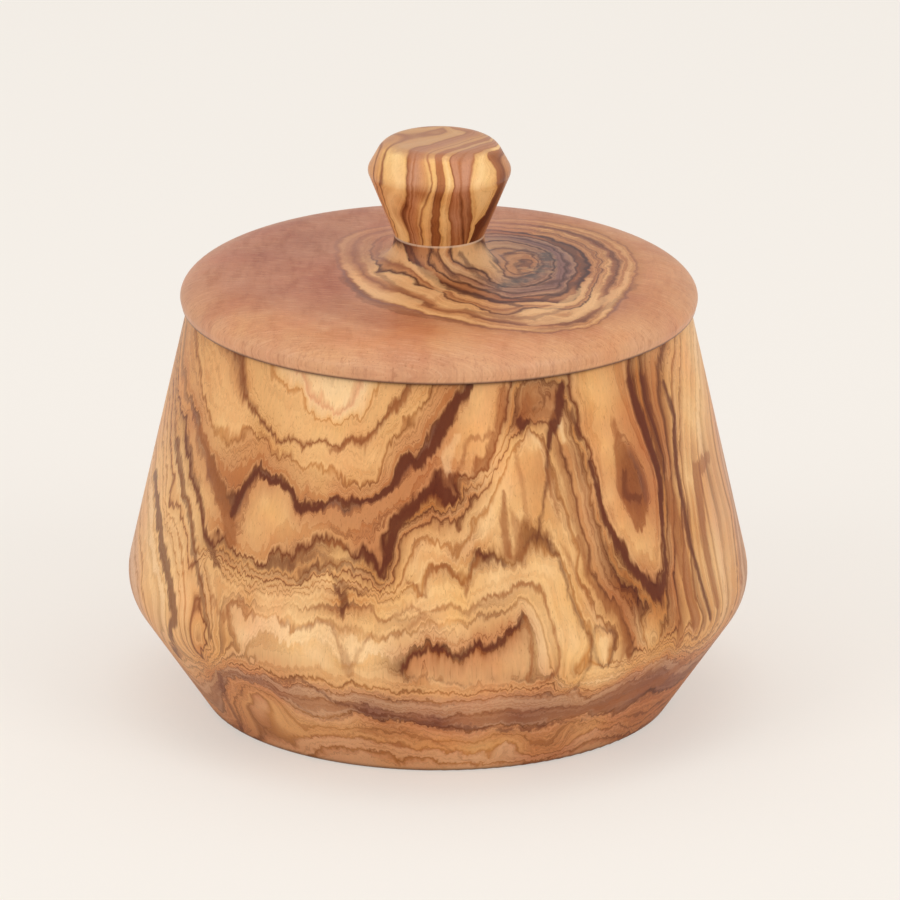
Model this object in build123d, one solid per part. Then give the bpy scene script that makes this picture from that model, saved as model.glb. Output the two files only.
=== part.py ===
from build123d import *
import os
from math import atan2, cos, degrees, radians, sin, sqrt, tan

# A turned wooden jar with a lift-off lid.
# Sizes are in mm. The origin is in the middle of the foot, and +Z is up the turning axis.

# Jar outside: a lower cone opens up to a rounded belt, and an upper cone closes in to the rim.
# The belt sizes are those of the corner where the two cones would meet.
foot_radius = 41.4
belt_radius = 55.85
belt_height = 21.4
belt_round = 9.9
rim_radius = 44.35
jar_height = 72.7
foot_edge_round = 0.8
rim_edge_round = 0.6

# Shallow recess under the jar, which leaves a ring to stand on
foot_ring_width = 7.5
foot_recess_depth = 1.2
foot_recess_round = 0.5

# Hollow: it runs parallel to both cones, one wall thickness in
wall = 8.2
floor_thickness = 8.5
floor_round = 14.0
hollow_belt_round = 12.0

# Mouth: a straight rebate that takes the spigot of the lid, inside a flat rim
rim_width = 5.85
mouth_depth = 7.0
mouth_edge_round = 0.5

# Lid outside
lid_overhang = 1.4
lid_edge_lean = 0.35
lid_edge_height = 1.5
lid_shoulder_width = 11.2
lid_shoulder_height = 4.9
lid_top_slope = 2.2
lid_cove_radius = 5.0
lid_neck_radius = 8.0
lid_neck_height = 13.1
lid_foot_round = 0.25

# Lid underside: a spigot ring that drops into the mouth, and a shallow dish inside it
spigot_clearance = 0.4
spigot_depth = 5.5
spigot_width = 6.0
spigot_edge_round = 0.9
dish_edge_depth = 0.5
dish_depth = 1.7
dish_corner_round = 3.0
dish_shelf = 0.5

# Knob: it flares from the neck to a belt, then closes in to a flat top
knob_belt_radius = 12.8
knob_belt_height = 11.8
knob_belt_round = 1.8
knob_top_radius = 9.9
knob_height = 17.1
knob_top_round = 3.6

# Glued joint between knob and lid: a round tenon in a blind mortise
tenon_radius = 4.0
tenon_length = 8.0
tenon_edge_round = 0.5
mortise_clearance = 0.05
mortise_end_gap = 0.4

# The underside of the lid rests on the rim of the jar, and the knob on the neck of the lid.
mouth_radius = rim_radius - rim_width
lid_radius = rim_radius + lid_overhang
seat = jar_height
neck_top = seat + lid_neck_height


def turned(outline):
    """Solid of revolution about the upright axis, from half its section."""
    return revolve(Plane.XZ * make_face(outline), Axis.Z)


def jar_body():
    upper_lean = (belt_radius - rim_radius) / (jar_height - belt_height)
    lower_lean = (belt_radius - foot_radius) / belt_height
    # The wall is measured square to each cone, so it is wider on the level.
    hollow_top = rim_radius - wall * sqrt(1 + upper_lean**2)
    hollow_foot = foot_radius - wall * sqrt(1 + lower_lean**2)
    hollow_belt_height = (hollow_top + upper_lean * jar_height - hollow_foot) / (upper_lean + lower_lean)
    ledge = jar_height - mouth_depth

    section = [
        ((0, foot_recess_depth), 0),
        ((foot_radius - foot_ring_width, foot_recess_depth), foot_recess_round),
        ((foot_radius - foot_ring_width, 0), foot_recess_round),
        ((foot_radius, 0), foot_edge_round),
        ((belt_radius, belt_height), belt_round),
        ((rim_radius, jar_height), rim_edge_round),
        ((mouth_radius, jar_height), mouth_edge_round),
        ((mouth_radius, ledge), 0),
        ((hollow_top + upper_lean * mouth_depth, ledge), 0),
        ((hollow_foot + lower_lean * hollow_belt_height, hollow_belt_height), hollow_belt_round),
        ((hollow_foot + lower_lean * floor_thickness, floor_thickness), floor_round),
        ((0, floor_thickness), 0),
    ]
    points = [point for point, _ in section]
    rounds = [corner for _, corner in section]
    return turned(FilletPolyline(*points, radius=rounds, close=True))


def lid():
    spigot_radius = mouth_radius - spigot_clearance
    dish_radius = spigot_radius - spigot_width

    # The shoulder is a quarter of an ellipse that stops where it lies along the sloping top.
    slope = tan(radians(lid_top_slope))
    shoulder_end = atan2(lid_shoulder_height, lid_shoulder_width * slope)
    edge_level = seat + lid_edge_height
    shoulder = EllipticalCenterArc(
        (lid_radius - lid_shoulder_width, edge_level),
        lid_shoulder_width,
        lid_shoulder_height,
        arc_size=degrees(shoulder_end),
    )
    top_start = shoulder @ 1
    top_level = top_start.Y + slope * (top_start.X - lid_neck_radius)
    top = FilletPolyline(
        top_start,
        (lid_neck_radius, top_level),
        (lid_neck_radius, neck_top),
        (0, neck_top),
        radius=[lid_cove_radius, 0],
    )

    # The dish is an arc, level in the middle, that ends on a narrow shelf inside the ring.
    dish_level = seat + dish_edge_depth
    dish_edge = (dish_radius - dish_corner_round - dish_shelf, dish_level)
    dish_middle = (0, seat + dish_depth)
    dish = TangentArc(dish_middle, dish_edge, tangent=(1, 0))
    under = FilletPolyline(
        dish_edge,
        (dish_radius, dish_level),
        (dish_radius, seat - spigot_depth),
        (spigot_radius, seat - spigot_depth),
        (spigot_radius, seat),
        (lid_radius - lid_edge_lean, seat),
        (lid_radius, edge_level),
        radius=[dish_corner_round, spigot_edge_round, spigot_edge_round, 0, lid_foot_round],
    )
    axis = Line((0, neck_top), dish_middle)
    blank = turned(Curve() + [shoulder, top, axis, dish, under])

    mortise_depth = tenon_length + mortise_end_gap
    mortise = Cylinder(
        tenon_radius + mortise_clearance,
        mortise_depth,
        align=(Align.CENTER, Align.CENTER, Align.MAX),
    )
    return blank - Pos(0, 0, neck_top) * mortise


def knob():
    section = [
        ((0, -tenon_length), 0),
        ((tenon_radius, -tenon_length), tenon_edge_round),
        ((tenon_radius, 0), 0),
        ((lid_neck_radius, 0), 0),
        ((knob_belt_radius, knob_belt_height), knob_belt_round),
        ((knob_top_radius, knob_height), knob_top_round),
        ((0, knob_height), 0),
    ]
    points = [(radius, neck_top + height) for (radius, height), _ in section]
    rounds = [corner for _, corner in section]
    return turned(FilletPolyline(*points, radius=rounds, close=True))


os.makedirs("parts", exist_ok=True)
for name, piece in {"jar_body": jar_body(), "lid": lid(), "knob": knob()}.items():
    export_step(piece, f"parts/{name}.step")
    size = piece.bounding_box().size
    print(name, "volume", round(piece.volume), "size", round(size.X, 1), round(size.Y, 1), round(size.Z, 1))
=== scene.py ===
import bpy
import numpy as np
from math import cos, radians, sin, sqrt
from mathutils import Matrix, Vector

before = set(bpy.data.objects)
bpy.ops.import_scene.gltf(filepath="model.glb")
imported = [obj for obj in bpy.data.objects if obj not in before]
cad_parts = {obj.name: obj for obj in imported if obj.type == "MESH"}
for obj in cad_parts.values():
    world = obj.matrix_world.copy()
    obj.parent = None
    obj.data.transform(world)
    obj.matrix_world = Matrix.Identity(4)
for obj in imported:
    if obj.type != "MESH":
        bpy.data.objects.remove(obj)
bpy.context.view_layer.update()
print("frame loaded:", ", ".join(sorted(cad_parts)))


class Wire:
    # A value socket that can be added and multiplied like a number
    def __init__(self, shader, socket):
        self.shader = shader
        self.socket = socket

    def maths(self, operation, *values):
        return self.shader.maths(operation, self, *values)

    def sibling(self, output):
        # Another output of the node that this one comes from
        return Wire(self.shader, self.socket.node.outputs[output])

    def __add__(self, other):
        return self.maths("ADD", other)

    __radd__ = __add__

    def __mul__(self, other):
        return self.maths("MULTIPLY", other)

    __rmul__ = __mul__

    def __sub__(self, other):
        return self.maths("SUBTRACT", other)

    def __rsub__(self, other):
        return self.shader.maths("SUBTRACT", other, self)

    def __abs__(self):
        return self.maths("ABSOLUTE")


class Shader:
    # The nodes of a material, of the world or of a node group
    def __init__(self, tree):
        self.tree = tree
        self.tree.nodes.clear()

    def add(self, kind, settings=None, *values, output=0, **named):
        # Settings come first, because some of them change which sockets a node has
        node = self.tree.nodes.new(kind)
        for name, value in (settings or {}).items():
            if name == "stops":
                self.setStops(node.color_ramp, value)
            else:
                setattr(node, name, value)
        sockets = [s for s in node.inputs if s.enabled and not s.is_unavailable]
        pairs = list(zip(sockets, values))
        pairs += [(next(s for s in sockets if s.name.replace(" ", "") == name), v) for name, v in named.items()]
        for socket, value in pairs:
            if isinstance(value, Wire):
                self.tree.links.new(value.socket, socket)
            elif value is not None:
                socket.default_value = value
        outputs = [s for s in node.outputs if s.enabled and not s.is_unavailable]
        if not outputs:
            return node
        if isinstance(output, str):
            return Wire(self, next(s for s in outputs if s.name == output))
        return Wire(self, outputs[output])

    def setStops(self, ramp, stops):
        while len(ramp.elements) > 1:
            ramp.elements.remove(ramp.elements[-1])
        for index, (place, colour) in enumerate(stops):
            element = ramp.elements[0] if index == 0 else ramp.elements.new(place)
            element.position = place
            element.color = colour

    def maths(self, operation, *values):
        return self.add("ShaderNodeMath", {"operation": operation}, *values)

    def vector(self, operation, *values, output=0):
        return self.add("ShaderNodeVectorMath", {"operation": operation}, *values, output=output)

    def scaled(self, place, scale):
        return self.vector("MULTIPLY", place, scale)

    def noise(self, place, detail=2.0, roughness=0.5, output=0, dimensions="3D"):
        named = {"W": place} if dimensions == "1D" else {"Vector": place}
        return self.add("ShaderNodeTexNoise", {"noise_dimensions": dimensions}, output=output,
                        Scale=1.0, Detail=detail, Roughness=roughness, **named)

    def spread(self, value, low, high, toLow=0.0, toHigh=1.0, kind="LINEAR"):
        # The clamp is a node of its own: a built-in one is worked out last, and a long chain
        # of mixes then needs more working memory than a shader has
        settings = {"interpolation_type": kind, "clamp": False}
        spread = self.add("ShaderNodeMapRange", settings, value, low, high, toLow, toHigh)
        if kind != "LINEAR":
            return spread
        return self.add("ShaderNodeClamp", {"clamp_type": "RANGE"}, spread, toLow, toHigh)

    def cover(self, value, effect):
        # How much of an effect there is: none where it starts, and all of its cover where it is full
        return self.spread(value, effect["from"], effect["to"], 0.0, effect["cover"])

    def mix(self, factor, first, second, blend="MIX"):
        return self.add("ShaderNodeMix", {"data_type": "RGBA", "blend_type": blend}, factor, first, second)

    def tint(self, factor, colour, tint):
        return self.mix(factor, colour, tint, "MULTIPLY")


def linear(colour):
    # From the 0 to 255 of a paint chart to the light that a shader works in
    parts = [c / 255 for c in colour]
    return tuple(c / 12.92 if c <= 0.04045 else ((c + 0.055) / 1.055) ** 2.4 for c in parts) + (1.0,)


# What the figure of all three pieces shares
grain = {
    "pointsInGroup": 12,  # guide points in one node group
    "stopsInRamp": 30,  # a ramp holds 32 stops at most
    "bandStart": 0.53,  # noise above this is a fine band between two rings
    "bandFull": 0.6,
    "bandEdge": 0.03,
    "drift": 0.4,  # how strongly the bands come and go along a ring
    "bandCover": (0.6, 0.18),  # share of the weight, and the least cover
    "edgeCover": (0.7, 0.15),
    "featherScale": (1.6, 1.6, 0.3),
}


def guideGroup():
    # One node for a dozen guide points: each adds its pull times its distance
    group = bpy.data.node_groups.new("guide points", "ShaderNodeTree")
    for name, kind in [("Place", "NodeSocketVector"), ("Sum", "NodeSocketFloat")]:
        group.interface.new_socket(name, in_out="INPUT", socket_type=kind)
    for index in range(grain["pointsInGroup"]):
        group.interface.new_socket(f"Point {index}", in_out="INPUT", socket_type="NodeSocketVector")
        group.interface.new_socket(f"Pull {index}", in_out="INPUT", socket_type="NodeSocketFloat")
    group.interface.new_socket("Sum", in_out="OUTPUT", socket_type="NodeSocketFloat")
    shader = Shader(group)
    place, total, *pairs = [Wire(shader, socket) for socket in group.nodes.new("NodeGroupInput").outputs]
    for index in range(grain["pointsInGroup"]):
        reach = shader.vector("DISTANCE", place, pairs[2 * index], output="Value")
        total = shader.maths("MULTIPLY_ADD", reach, pairs[2 * index + 1], total)
    shader.add("NodeGroupOutput", None, total)
    return group


guidePoints = guideGroup()


def guided(shader, place, points, ease):
    # A smooth rise and fall through the guide points: a plane, plus the pull of every point
    spots, values = np.array([spot for spot, value in points]), np.array([value for spot, value in points])
    count = len(spots)
    table = np.zeros((count + 4, count + 4))
    table[:count, :count] = -np.linalg.norm(spots[:, None] - spots[None], axis=2) + ease * np.eye(count)
    table[:count, count] = table[count, :count] = 1
    table[:count, count + 1:] = spots
    table[count + 1:, :count] = spots.T
    answer = np.linalg.solve(table, np.r_[values, np.zeros(4)])
    pulls = -answer[:count]
    plane, level = tuple(answer[count + 1:]), float(answer[count])
    total = shader.vector("DOT_PRODUCT", place, plane, output="Value") + level
    for start in range(0, count, grain["pointsInGroup"]):
        sockets = [place, total]
        for index in range(start, start + grain["pointsInGroup"]):
            inside = index < count
            sockets += [tuple(spots[index]) if inside else (0, 0, 0), float(pulls[index]) if inside else 0.0]
        total = shader.add("ShaderNodeGroup", {"node_tree": guidePoints}, *sockets)
    return total


def ringColour(shader, ring, piece, column):
    # A long list of stops runs over several ramps, each of which starts where the last one ends
    colour, stops = None, piece["stops"]
    for start in range(0, len(stops) - 1, grain["stopsInRamp"]):
        part = stops[start:start + grain["stopsInRamp"] + 1]
        low, high = part[0][0], part[-1][0]
        ramp = [((stop[0] - low) / (high - low), linear(piece["colours"][stop[column]])) for stop in part]
        band = shader.add("ShaderNodeValToRGB", {"stops": ramp}, shader.spread(ring, low, high), output="Color")
        colour = band if colour is None else shader.mix(shader.maths("GREATER_THAN", ring, low), colour, band)
    return colour


def linePoints(lines, lift):
    # The guide points of drawn ring lines, lifted on to the piece, each with its ring number
    return [(lift(*spot), ring) for ring, line in lines for spot in line]


def spotPoints(spots, lift):
    # The same for single spots: two coordinates and a value
    return [(lift(first, second), value) for first, second, value in spots]


def figure(shader, place, piece, rings, weights):
    # Growth rings as colour: a light and a heavy version of the same rings, and fine bands between them
    print(piece["name"], "guide points:", len(rings), "for rings,", len(weights), "for weights")
    ring = guided(shader, place, rings, piece["ease"])
    weight = shader.spread(guided(shader, place, weights, piece["weightEase"]), 0.1, 0.9)
    light = ringColour(shader, ring, piece, 1)
    heavy = ringColour(shader, ring, piece, 2)
    colour = shader.mix(weight, light, heavy)
    # Bands inside each ring come and go along it, and each has a thin dark edge
    start = grain["bandStart"]
    drift = shader.noise(shader.scaled(place, piece["driftScale"]), 3.0, 0.6)
    bands = shader.noise(ring * piece["bands"], 3.0, 0.65, dimensions="1D") + (drift - 0.5) * grain["drift"]
    calmFrom, calmTo, calm = piece["calm"]
    lively = shader.spread(ring, calmFrom, calmTo, 1.0, calm)
    share, least = grain["bandCover"]
    inBand = shader.spread(bands, start, grain["bandFull"]) * (weight * share + least) * lively
    colour = shader.tint(inBand, colour, piece["bandTint"])
    share, least = grain["edgeCover"]
    edge = shader.spread(abs(bands - start), 0.0, grain["bandEdge"], 1.0, 0.0)
    return shader.tint(edge * (weight * share + least) * lively, colour, piece["edgeTint"]), ring


def strokeGroup(line):
    # How far a place lies outside one stroke, a run of tapered pieces with a (place, half width) at each end
    group = bpy.data.node_groups.new("stroke", "ShaderNodeTree")
    group.interface.new_socket("Place", in_out="INPUT", socket_type="NodeSocketVector")
    group.interface.new_socket("Gap", in_out="OUTPUT", socket_type="NodeSocketFloat")
    shader = Shader(group)
    place = Wire(shader, group.nodes.new("NodeGroupInput").outputs[0])
    gap = None
    for (start, startWidth), (end, endWidth) in zip(line, line[1:]):
        start, run = np.array(start), np.array(end) - np.array(start)
        share = run / (run @ run)
        along = shader.vector("DOT_PRODUCT", place, tuple(share), output="Value")
        along = shader.add("ShaderNodeClamp", None, along - float(start @ share), 0.0, 1.0)
        nearest = shader.vector("ADD", shader.vector("SCALE", tuple(run), along), tuple(start))
        reach = shader.vector("DISTANCE", place, nearest, output="Value")
        reach = reach + along * (startWidth - endWidth) - startWidth
        gap = reach if gap is None else gap.maths("MINIMUM", reach)
    shader.add("NodeGroupOutput", None, gap)
    return group


def stroked(shader, place, colour, piece, lift):
    # Strokes over the rings, with edges that the fibres feather
    feather = (shader.noise(shader.scaled(place, grain["featherScale"]), 3.0, 0.6) - 0.5) * piece["feather"]
    soft = piece["strokeEdge"]
    for paint, strength, line in piece["strokes"]:
        group = strokeGroup([(lift(first, second), width) for first, second, width in line])
        gap = shader.add("ShaderNodeGroup", {"node_tree": group}, place) + feather
        cover = shader.spread(gap, soft, -soft, 0.0, strength, "SMOOTHSTEP")
        colour = shader.mix(cover, colour, linear(piece["colours"][paint]))
    return colour


# What the oiled surface of all three pieces shares
oil = {
    "patchScale": (0.07, 0.07, 0.05),
    "patch": (0.48, 0.68),
    "pinkTint": (1.0, 0.8, 0.78, 1),
    "goldTint": (1.0, 0.9, 0.66, 1),
    "poreScale": (2.2, 2.2, 1.4),  # over the scale of the fibres
    "pore": (0.66, 0.74),
    "poreTint": (0.5, 0.36, 0.26, 1),
    "roughnessRange": 0.05,
    "markShare": 0.4,  # how much of the bump comes from turning marks, the rest being fibres
    "bumpHeight": 0.0002,
}


def oiledWood(shader, place, colour, fibres, turned, finish):
    # Tints and fibres over the figure, then the satin oil on top
    patch = shader.noise(shader.scaled(place, oil["patchScale"]), 3.0, 0.6, output="Color")
    red = shader.add("ShaderNodeSeparateColor", None, patch, output="Red")
    green = red.sibling("Green")
    colour = shader.tint(shader.spread(red, *oil["patch"], 0.0, finish["pink"]), colour, oil["pinkTint"])
    colour = shader.tint(shader.spread(green, *oil["patch"], 0.0, finish["gold"]), colour, oil["goldTint"])
    streaks = shader.noise(fibres, 3.0, 0.6)
    streaky = shader.spread(streaks, 0.25, 0.75, 1.0 - finish["streak"], 1.0 + finish["streak"])
    colour = shader.tint(1.0, colour, streaky)
    pores = shader.noise(shader.scaled(fibres, oil["poreScale"]), 1.0)
    colour = shader.tint(shader.spread(pores, *oil["pore"], 0.0, finish["pore"]), colour, oil["poreTint"])
    smooth, rough = finish["roughness"] - oil["roughnessRange"], finish["roughness"] + oil["roughnessRange"]
    roughness = shader.spread(streaks, 0.2, 0.8, smooth, rough)
    marks = shader.noise(turned, 2.0, 0.6, dimensions="1D")
    height = streaks * (1 - oil["markShare"]) + marks * oil["markShare"]
    normal = shader.add("ShaderNodeBump", None,
                        Strength=finish["bump"], Distance=oil["bumpHeight"], Height=height)
    surface = shader.add("ShaderNodeBsdfPrincipled", None,
                         BaseColor=colour, Roughness=roughness, Normal=normal, SpecularIORLevel=finish["shine"])
    shader.add("ShaderNodeOutputMaterial", None, surface)


def woodMaterial(name):
    # A material, its shader and the place on the piece in mm
    material = bpy.data.materials.new(name)
    material.use_nodes = True
    shader = Shader(material.node_tree)
    place = shader.add("ShaderNodeTexCoord", output="Object")
    return material, shader, shader.scaled(place, (1000, 1000, 1000))


def outwards(shader, place):
    # How far a place is from the turning axis
    return shader.vector("LENGTH", shader.scaled(place, (1, 1, 0)), output="Value")


# The wood is drawn in mm: x, y or a height, taken from the jar's foot, gives a place on a piece's surface
jar = {
    "name": "jar",
    "footRadius": 41.4,
    "beltRadius": 55.85,
    "beltHeight": 21.4,
    "rimRadius": 44.35,
    "height": 72.7,
    "beltInset": 0.7,  # how far the rounded belt stays inside the corner of the two cones
    "beltRound": 3.4,
    "colours": {
        # the colour of the painted shade at the foot and under the lid
        "seam": (58, 30, 20),
        "wine": (104, 46, 20),
        "rust": (160, 93, 46),
        "pale": (252, 210, 156),
        "pink": (236, 174, 126),
        "honey": (241, 187, 124),
        "straw": (248, 200, 140),
        "tan": (208, 142, 78),
        "peach": (230, 174, 112),
        "brown": (154, 87, 40),
        "umber": (124, 62, 26),
        "dark": (98, 40, 12),
        "plum": (148, 96, 72),
        "mass": (198, 130, 80),
        "clay": (236, 186, 140),
        "slate": (182, 134, 102),
    },
    "bands": 3.6,  # fine bands for each ring
    "calm": (20, 21, 1.0),  # from this ring to this one the bands fade to this share
    "driftScale": (0.12, 0.12, 0.06),
    "bandTint": (0.76, 0.57, 0.4, 1),
    "edgeTint": (0.42, 0.25, 0.14, 1),
    # Ring number, colour where the figure is light, colour where it is heavy
    "stops": [
        (0.0, "pale", "tan"), (0.2, "pink", "tan"), (0.4, "pale", "tan"), (0.93, "honey", "tan"),
        (1.0, "tan", "brown"), (1.15, "honey", "tan"), (1.85, "honey", "tan"), (2.0, "brown", "dark"),
        (2.15, "honey", "brown"), (2.35, "honey", "tan"), (2.88, "honey", "tan"), (3.0, "tan", "umber"),
        (3.12, "peach", "mass"), (3.9, "peach", "mass"), (4.0, "tan", "dark"), (4.25, "honey", "plum"),
        (4.45, "honey", "mass"), (4.9, "honey", "mass"), (5.0, "brown", "dark"), (5.1, "honey", "umber"),
        (5.38, "straw", "tan"), (5.5, "tan", "dark"), (5.64, "straw", "brown"), (5.92, "honey", "mass"),
        (6.0, "brown", "dark"), (6.1, "honey", "brown"), (6.4, "straw", "tan"), (6.5, "tan", "umber"),
        (6.62, "straw", "mass"), (6.92, "straw", "tan"), (7.0, "tan", "dark"), (7.1, "straw", "brown"),
        (7.3, "straw", "tan"), (7.9, "straw", "tan"), (8.0, "honey", "umber"), (8.15, "straw", "brown"),
        (8.42, "straw", "tan"), (8.5, "honey", "umber"), (8.62, "pale", "tan"), (8.93, "pale", "mass"),
        (9.0, "honey", "dark"), (9.12, "straw", "brown"), (9.4, "straw", "mass"), (9.9, "honey", "mass"),
        (10.0, "tan", "dark"), (10.12, "honey", "mass"), (10.5, "clay", "mass"), (10.6, "tan", "umber"),
        (10.72, "clay", "slate"), (11.2, "clay", "slate"), (11.35, "tan", "plum"), (12.05, "clay", "plum"),
        (12.2, "tan", "dark"), (12.3, "clay", "mass"), (12.9, "peach", "mass"), (13.0, "tan", "umber"),
        (13.1, "peach", "mass"), (13.5, "peach", "mass"), (13.6, "tan", "umber"), (13.7, "clay", "mass"),
        (14.1, "clay", "mass"), (14.2, "tan", "umber"), (14.35, "clay", "mass"), (15.0, "clay", "slate"),
        (16.0, "clay", "slate"),
    ],
    # How heavy the figure is: (x, height, weight), and round the back (degrees from the front, height, weight)
    "weights": [
        (-28, 70, 0.15), (-20, 70, 0), (-12, 70, 0.1), (-18, 63, 0.15), (-26, 63, 0.2), (-33, 68, 0.5),
        (-30, 61.5, 0.6), (-14, 62, 0.5), (-8, 67, 0.5), (-41, 71, 0.5), (-38, 66, 0.2), (-43, 64, 0.45),
        (-35, 61, 0), (-38, 58, 0.1), (-28, 58, 0.5), (-22, 55, 0.1), (-16, 57, 0.15), (-11, 60, 0.05),
        (-4, 67, 0.3), (-43, 58, 0.9), (-40, 51, 0.9), (-37, 45, 0.8), (-34, 50, 0.9), (-29, 54.2, 0.95),
        (-24, 49.5, 0.95), (-18, 50.6, 0.85), (-12, 52, 0.85), (-8, 55, 0.9), (-4, 59, 1), (0, 64, 1),
        (3, 70, 0.95), (-30, 49, 0.1), (-31, 45, 0.35), (-26.5, 47, 0.2), (-20, 48, 0.8), (-14, 47.4, 0.8),
        (-10, 47.5, 0.8), (-21.5, 46, 0.45), (-36, 42, 0.85), (-30, 41, 0.55), (-33, 44, 0.3),
        (-14, 44.5, 0.9), (-9.6, 42, 1), (-5.5, 54, 0.95), (-1, 55, 1), (2, 61, 0.4), (6.4, 66, 0.05),
        (7, 70, 0.1), (8.6, 64, 0.1), (9.4, 60, 0.15), (2.2, 53, 1), (-22, 42, 0.7), (-16, 42.6, 0.3),
        (-24, 39, 0.6), (-19, 38, 0.15), (-17, 35, 0.9), (-28, 37, 0.5), (-38, 38, 0.6), (-35, 34.5, 0.3),
        (-30, 33, 0.15), (-23, 35.6, 0.2), (-5, 47, 0.6), (0, 50, 0.7), (5.6, 54.4, 0.6), (5, 47, 0.3),
        (0, 44.6, 0.15), (-4, 41, 0.2), (12, 48, 0.15), (8, 48, 0.1), (11, 56, 0.1), (16, 56, 0.45),
        (14.4, 51, 0.2), (16.4, 61, 0.15), (18.6, 55, 0.6), (19, 61, 0.85), (14, 65.5, 1), (21, 69, 0.95),
        (17, 69, 0.7), (12, 70, 0.6), (25, 70, 0.15), (28, 67, 0.05), (28.6, 59, 0.05), (23.4, 63, 0.85),
        (21, 62.4, 0.1), (25.4, 57, 0.75), (28, 48, 0.75), (31, 42.4, 0.9), (35, 36.4, 1), (38, 32, 1),
        (22, 54, 0.35), (21, 46, 0.25), (25, 43, 0.4), (30.4, 33, 0.9), (33.6, 26, 0.95), (36, 26, 0.15),
        (33, 50, 1), (33, 57, 0.8), (31.4, 62, 0.6), (35, 46, 0.85), (29.8, 50, 0.1), (31.6, 45, 0.1),
        (34.4, 41, 0.1), (37.4, 38, 0.25), (34, 68, 1), (36.4, 61, 0.9), (38.2, 54, 0.95), (40, 57, 0.85),
        (39, 70, 0.45), (42.6, 43, 0.9), (41, 36, 0.7), (43, 28, 0.75), (46, 32, 0.5), (44.4, 57, 0.1),
        (46.2, 48, 0.75), (44, 48, 0.1), (48.6, 30, 0.3), (50.4, 34, 0.4), (0, 38, 0.1), (10, 40, 0.05),
        (7.6, 43.6, 0.85), (1, 41.8, 0.5), (14, 42.6, 0.7), (17, 46, 0.75), (17, 42, 0.05), (10, 35.4, 0.4),
        (2, 32, 0.1), (-10, 33, 0.25), (-24, 26, 0), (-12, 26, 0.05), (-9, 29, 0.3), (5, 24.6, 0.6),
        (-5.4, 24.4, 0.9), (13, 30.4, 1), (0, 27.2, 1), (7, 27.6, 1), (12, 24.6, 0.45), (17, 26, 0.4),
        (19, 32, 0.15), (24, 24, 0.1), (28.6, 25.5, 0.1), (31, 26, 0.7), (-48.6, 34, 0.3), (-47, 25, 0.25),
        (-44, 28, 0.05), (-41.6, 33, 0.35), (-40.4, 25, 0.35), (-50.6, 28, 0.15), (-45.6, 50, 0.25),
        (-42, 43, 0.25), (-46.4, 43.6, 0.2), (-41, 46, 0.15), (-37.4, 29, 0.5), (-36.6, 25, 0.7),
        (-34, 26, 0.2), (-33, 32, 0.6), (-24, 20.4, 0.5), (-10, 20.4, 0.3), (0, 20.6, 0.25), (12, 21, 0.5),
        (20, 20.4, 0.7), (30, 20, 0.25), (-26, 18.6, 0.8), (-16, 18.4, 0.5), (0, 17.4, 0.35), (10, 18, 0.4),
        (25, 15, 0.7), (32, 17, 0.7), (28, 18.6, 0.2), (-33, 18, 0.8), (-12, 14.6, 1), (0, 12.6, 1),
        (14, 12, 0.85), (28, 12, 0.75), (38, 14, 0.9), (38, 8, 0.9), (-37.4, 12, 0.85), (-30, 10, 0.2),
        (-24, 8, 0.3), (-16, 11.4, 0.3), (0, 9, 0.3), (12, 6, 0.2), (26, 6, 0.3), (20, 2.6, 0.7),
        (-33, 1.4, 0.8), (-12, 6.4, 0.5), (0, 3.4, 0.3), (6, 5, 0.1), (34, 3, 0.8), (-43, 12, 0.4),
        (-46, 16, 0.7),
    ],
    "weightsBehind": [
        (-90, 60, 0.6), (-90, 30, 0.4), (-90, 8, 0.5), (-130, 60, 0.5), (-130, 30, 0.35), (-130, 8, 0.7),
        (180, 62, 0.3), (180, 35, 0.7), (180, 8, 0.6), (140, 60, 0.8), (140, 30, 0.3), (140, 8, 0.5),
        (90, 60, 0.3), (90, 30, 0.5), (90, 8, 0.8),
    ],
    # Ring lines drawn on the front of the jar: ring number, then (x, height) along the line
    "rings": [
        # Arches that hang under the rim, left of the middle
        (0.2, [(-24, 72.5), (-22.5, 69), (-21.5, 67), (-18, 66.5), (-15, 68), (-13.5, 72)]),
        (1.0, [(-29, 72.5), (-28.5, 70.8), (-25, 69.7), (-23, 68), (-22, 65.7), (-19, 65), (-15.5, 65.8),
            (-13, 67), (-11.5, 70), (-10, 72.5)]),
        (2.0, [(-34, 72.5), (-34, 68), (-33.5, 65.5), (-32, 63), (-29.5, 61.4), (-27, 60.2), (-24, 60.6),
            (-20, 61), (-16, 61.6), (-12, 63.3), (-10, 66), (-7.5, 68.6), (-5, 72.5)]),
        (3.0, [(-33, 60.8), (-30, 59.4), (-28, 57.8), (-26, 57.5), (-24, 56.3), (-21, 56.9), (-19, 57.5),
            (-16, 54), (-13, 55), (-10.5, 56.3), (-9.5, 59), (-8, 63), (-6, 67), (-4, 65), (-2.5, 68.5),
            (-1, 72.5)]),
        (3.0, [(-36.5, 56.4), (-34.8, 58), (-33.6, 60.6)]),
        (3.0, [(-41, 62), (-40.2, 59), (-39, 57), (-37.8, 58.8), (-37, 56.6)]),
        (4.0, [(-45, 66), (-44.2, 61.5), (-43, 59.6), (-41.8, 58.8), (-41.4, 55), (-40, 53.4),
            (-39.3, 54.2), (-38.5, 51), (-37.2, 48), (-36.3, 46.2), (-35.4, 49), (-33.8, 51), (-32, 53.8),
            (-30, 54.8), (-28, 54.6), (-26.6, 52.8), (-25, 50.8), (-23, 49.9), (-20.5, 51.2), (-19, 52),
            (-17, 50.9), (-15, 51.3), (-12, 52.6), (-10, 53.8), (-8.5, 54.6), (-7.6, 57.4), (-6.2, 60.4),
            (-4.5, 60), (-2.5, 62), (-1, 65), (1, 67.5), (3, 71), (4, 72.7)]),
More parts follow.
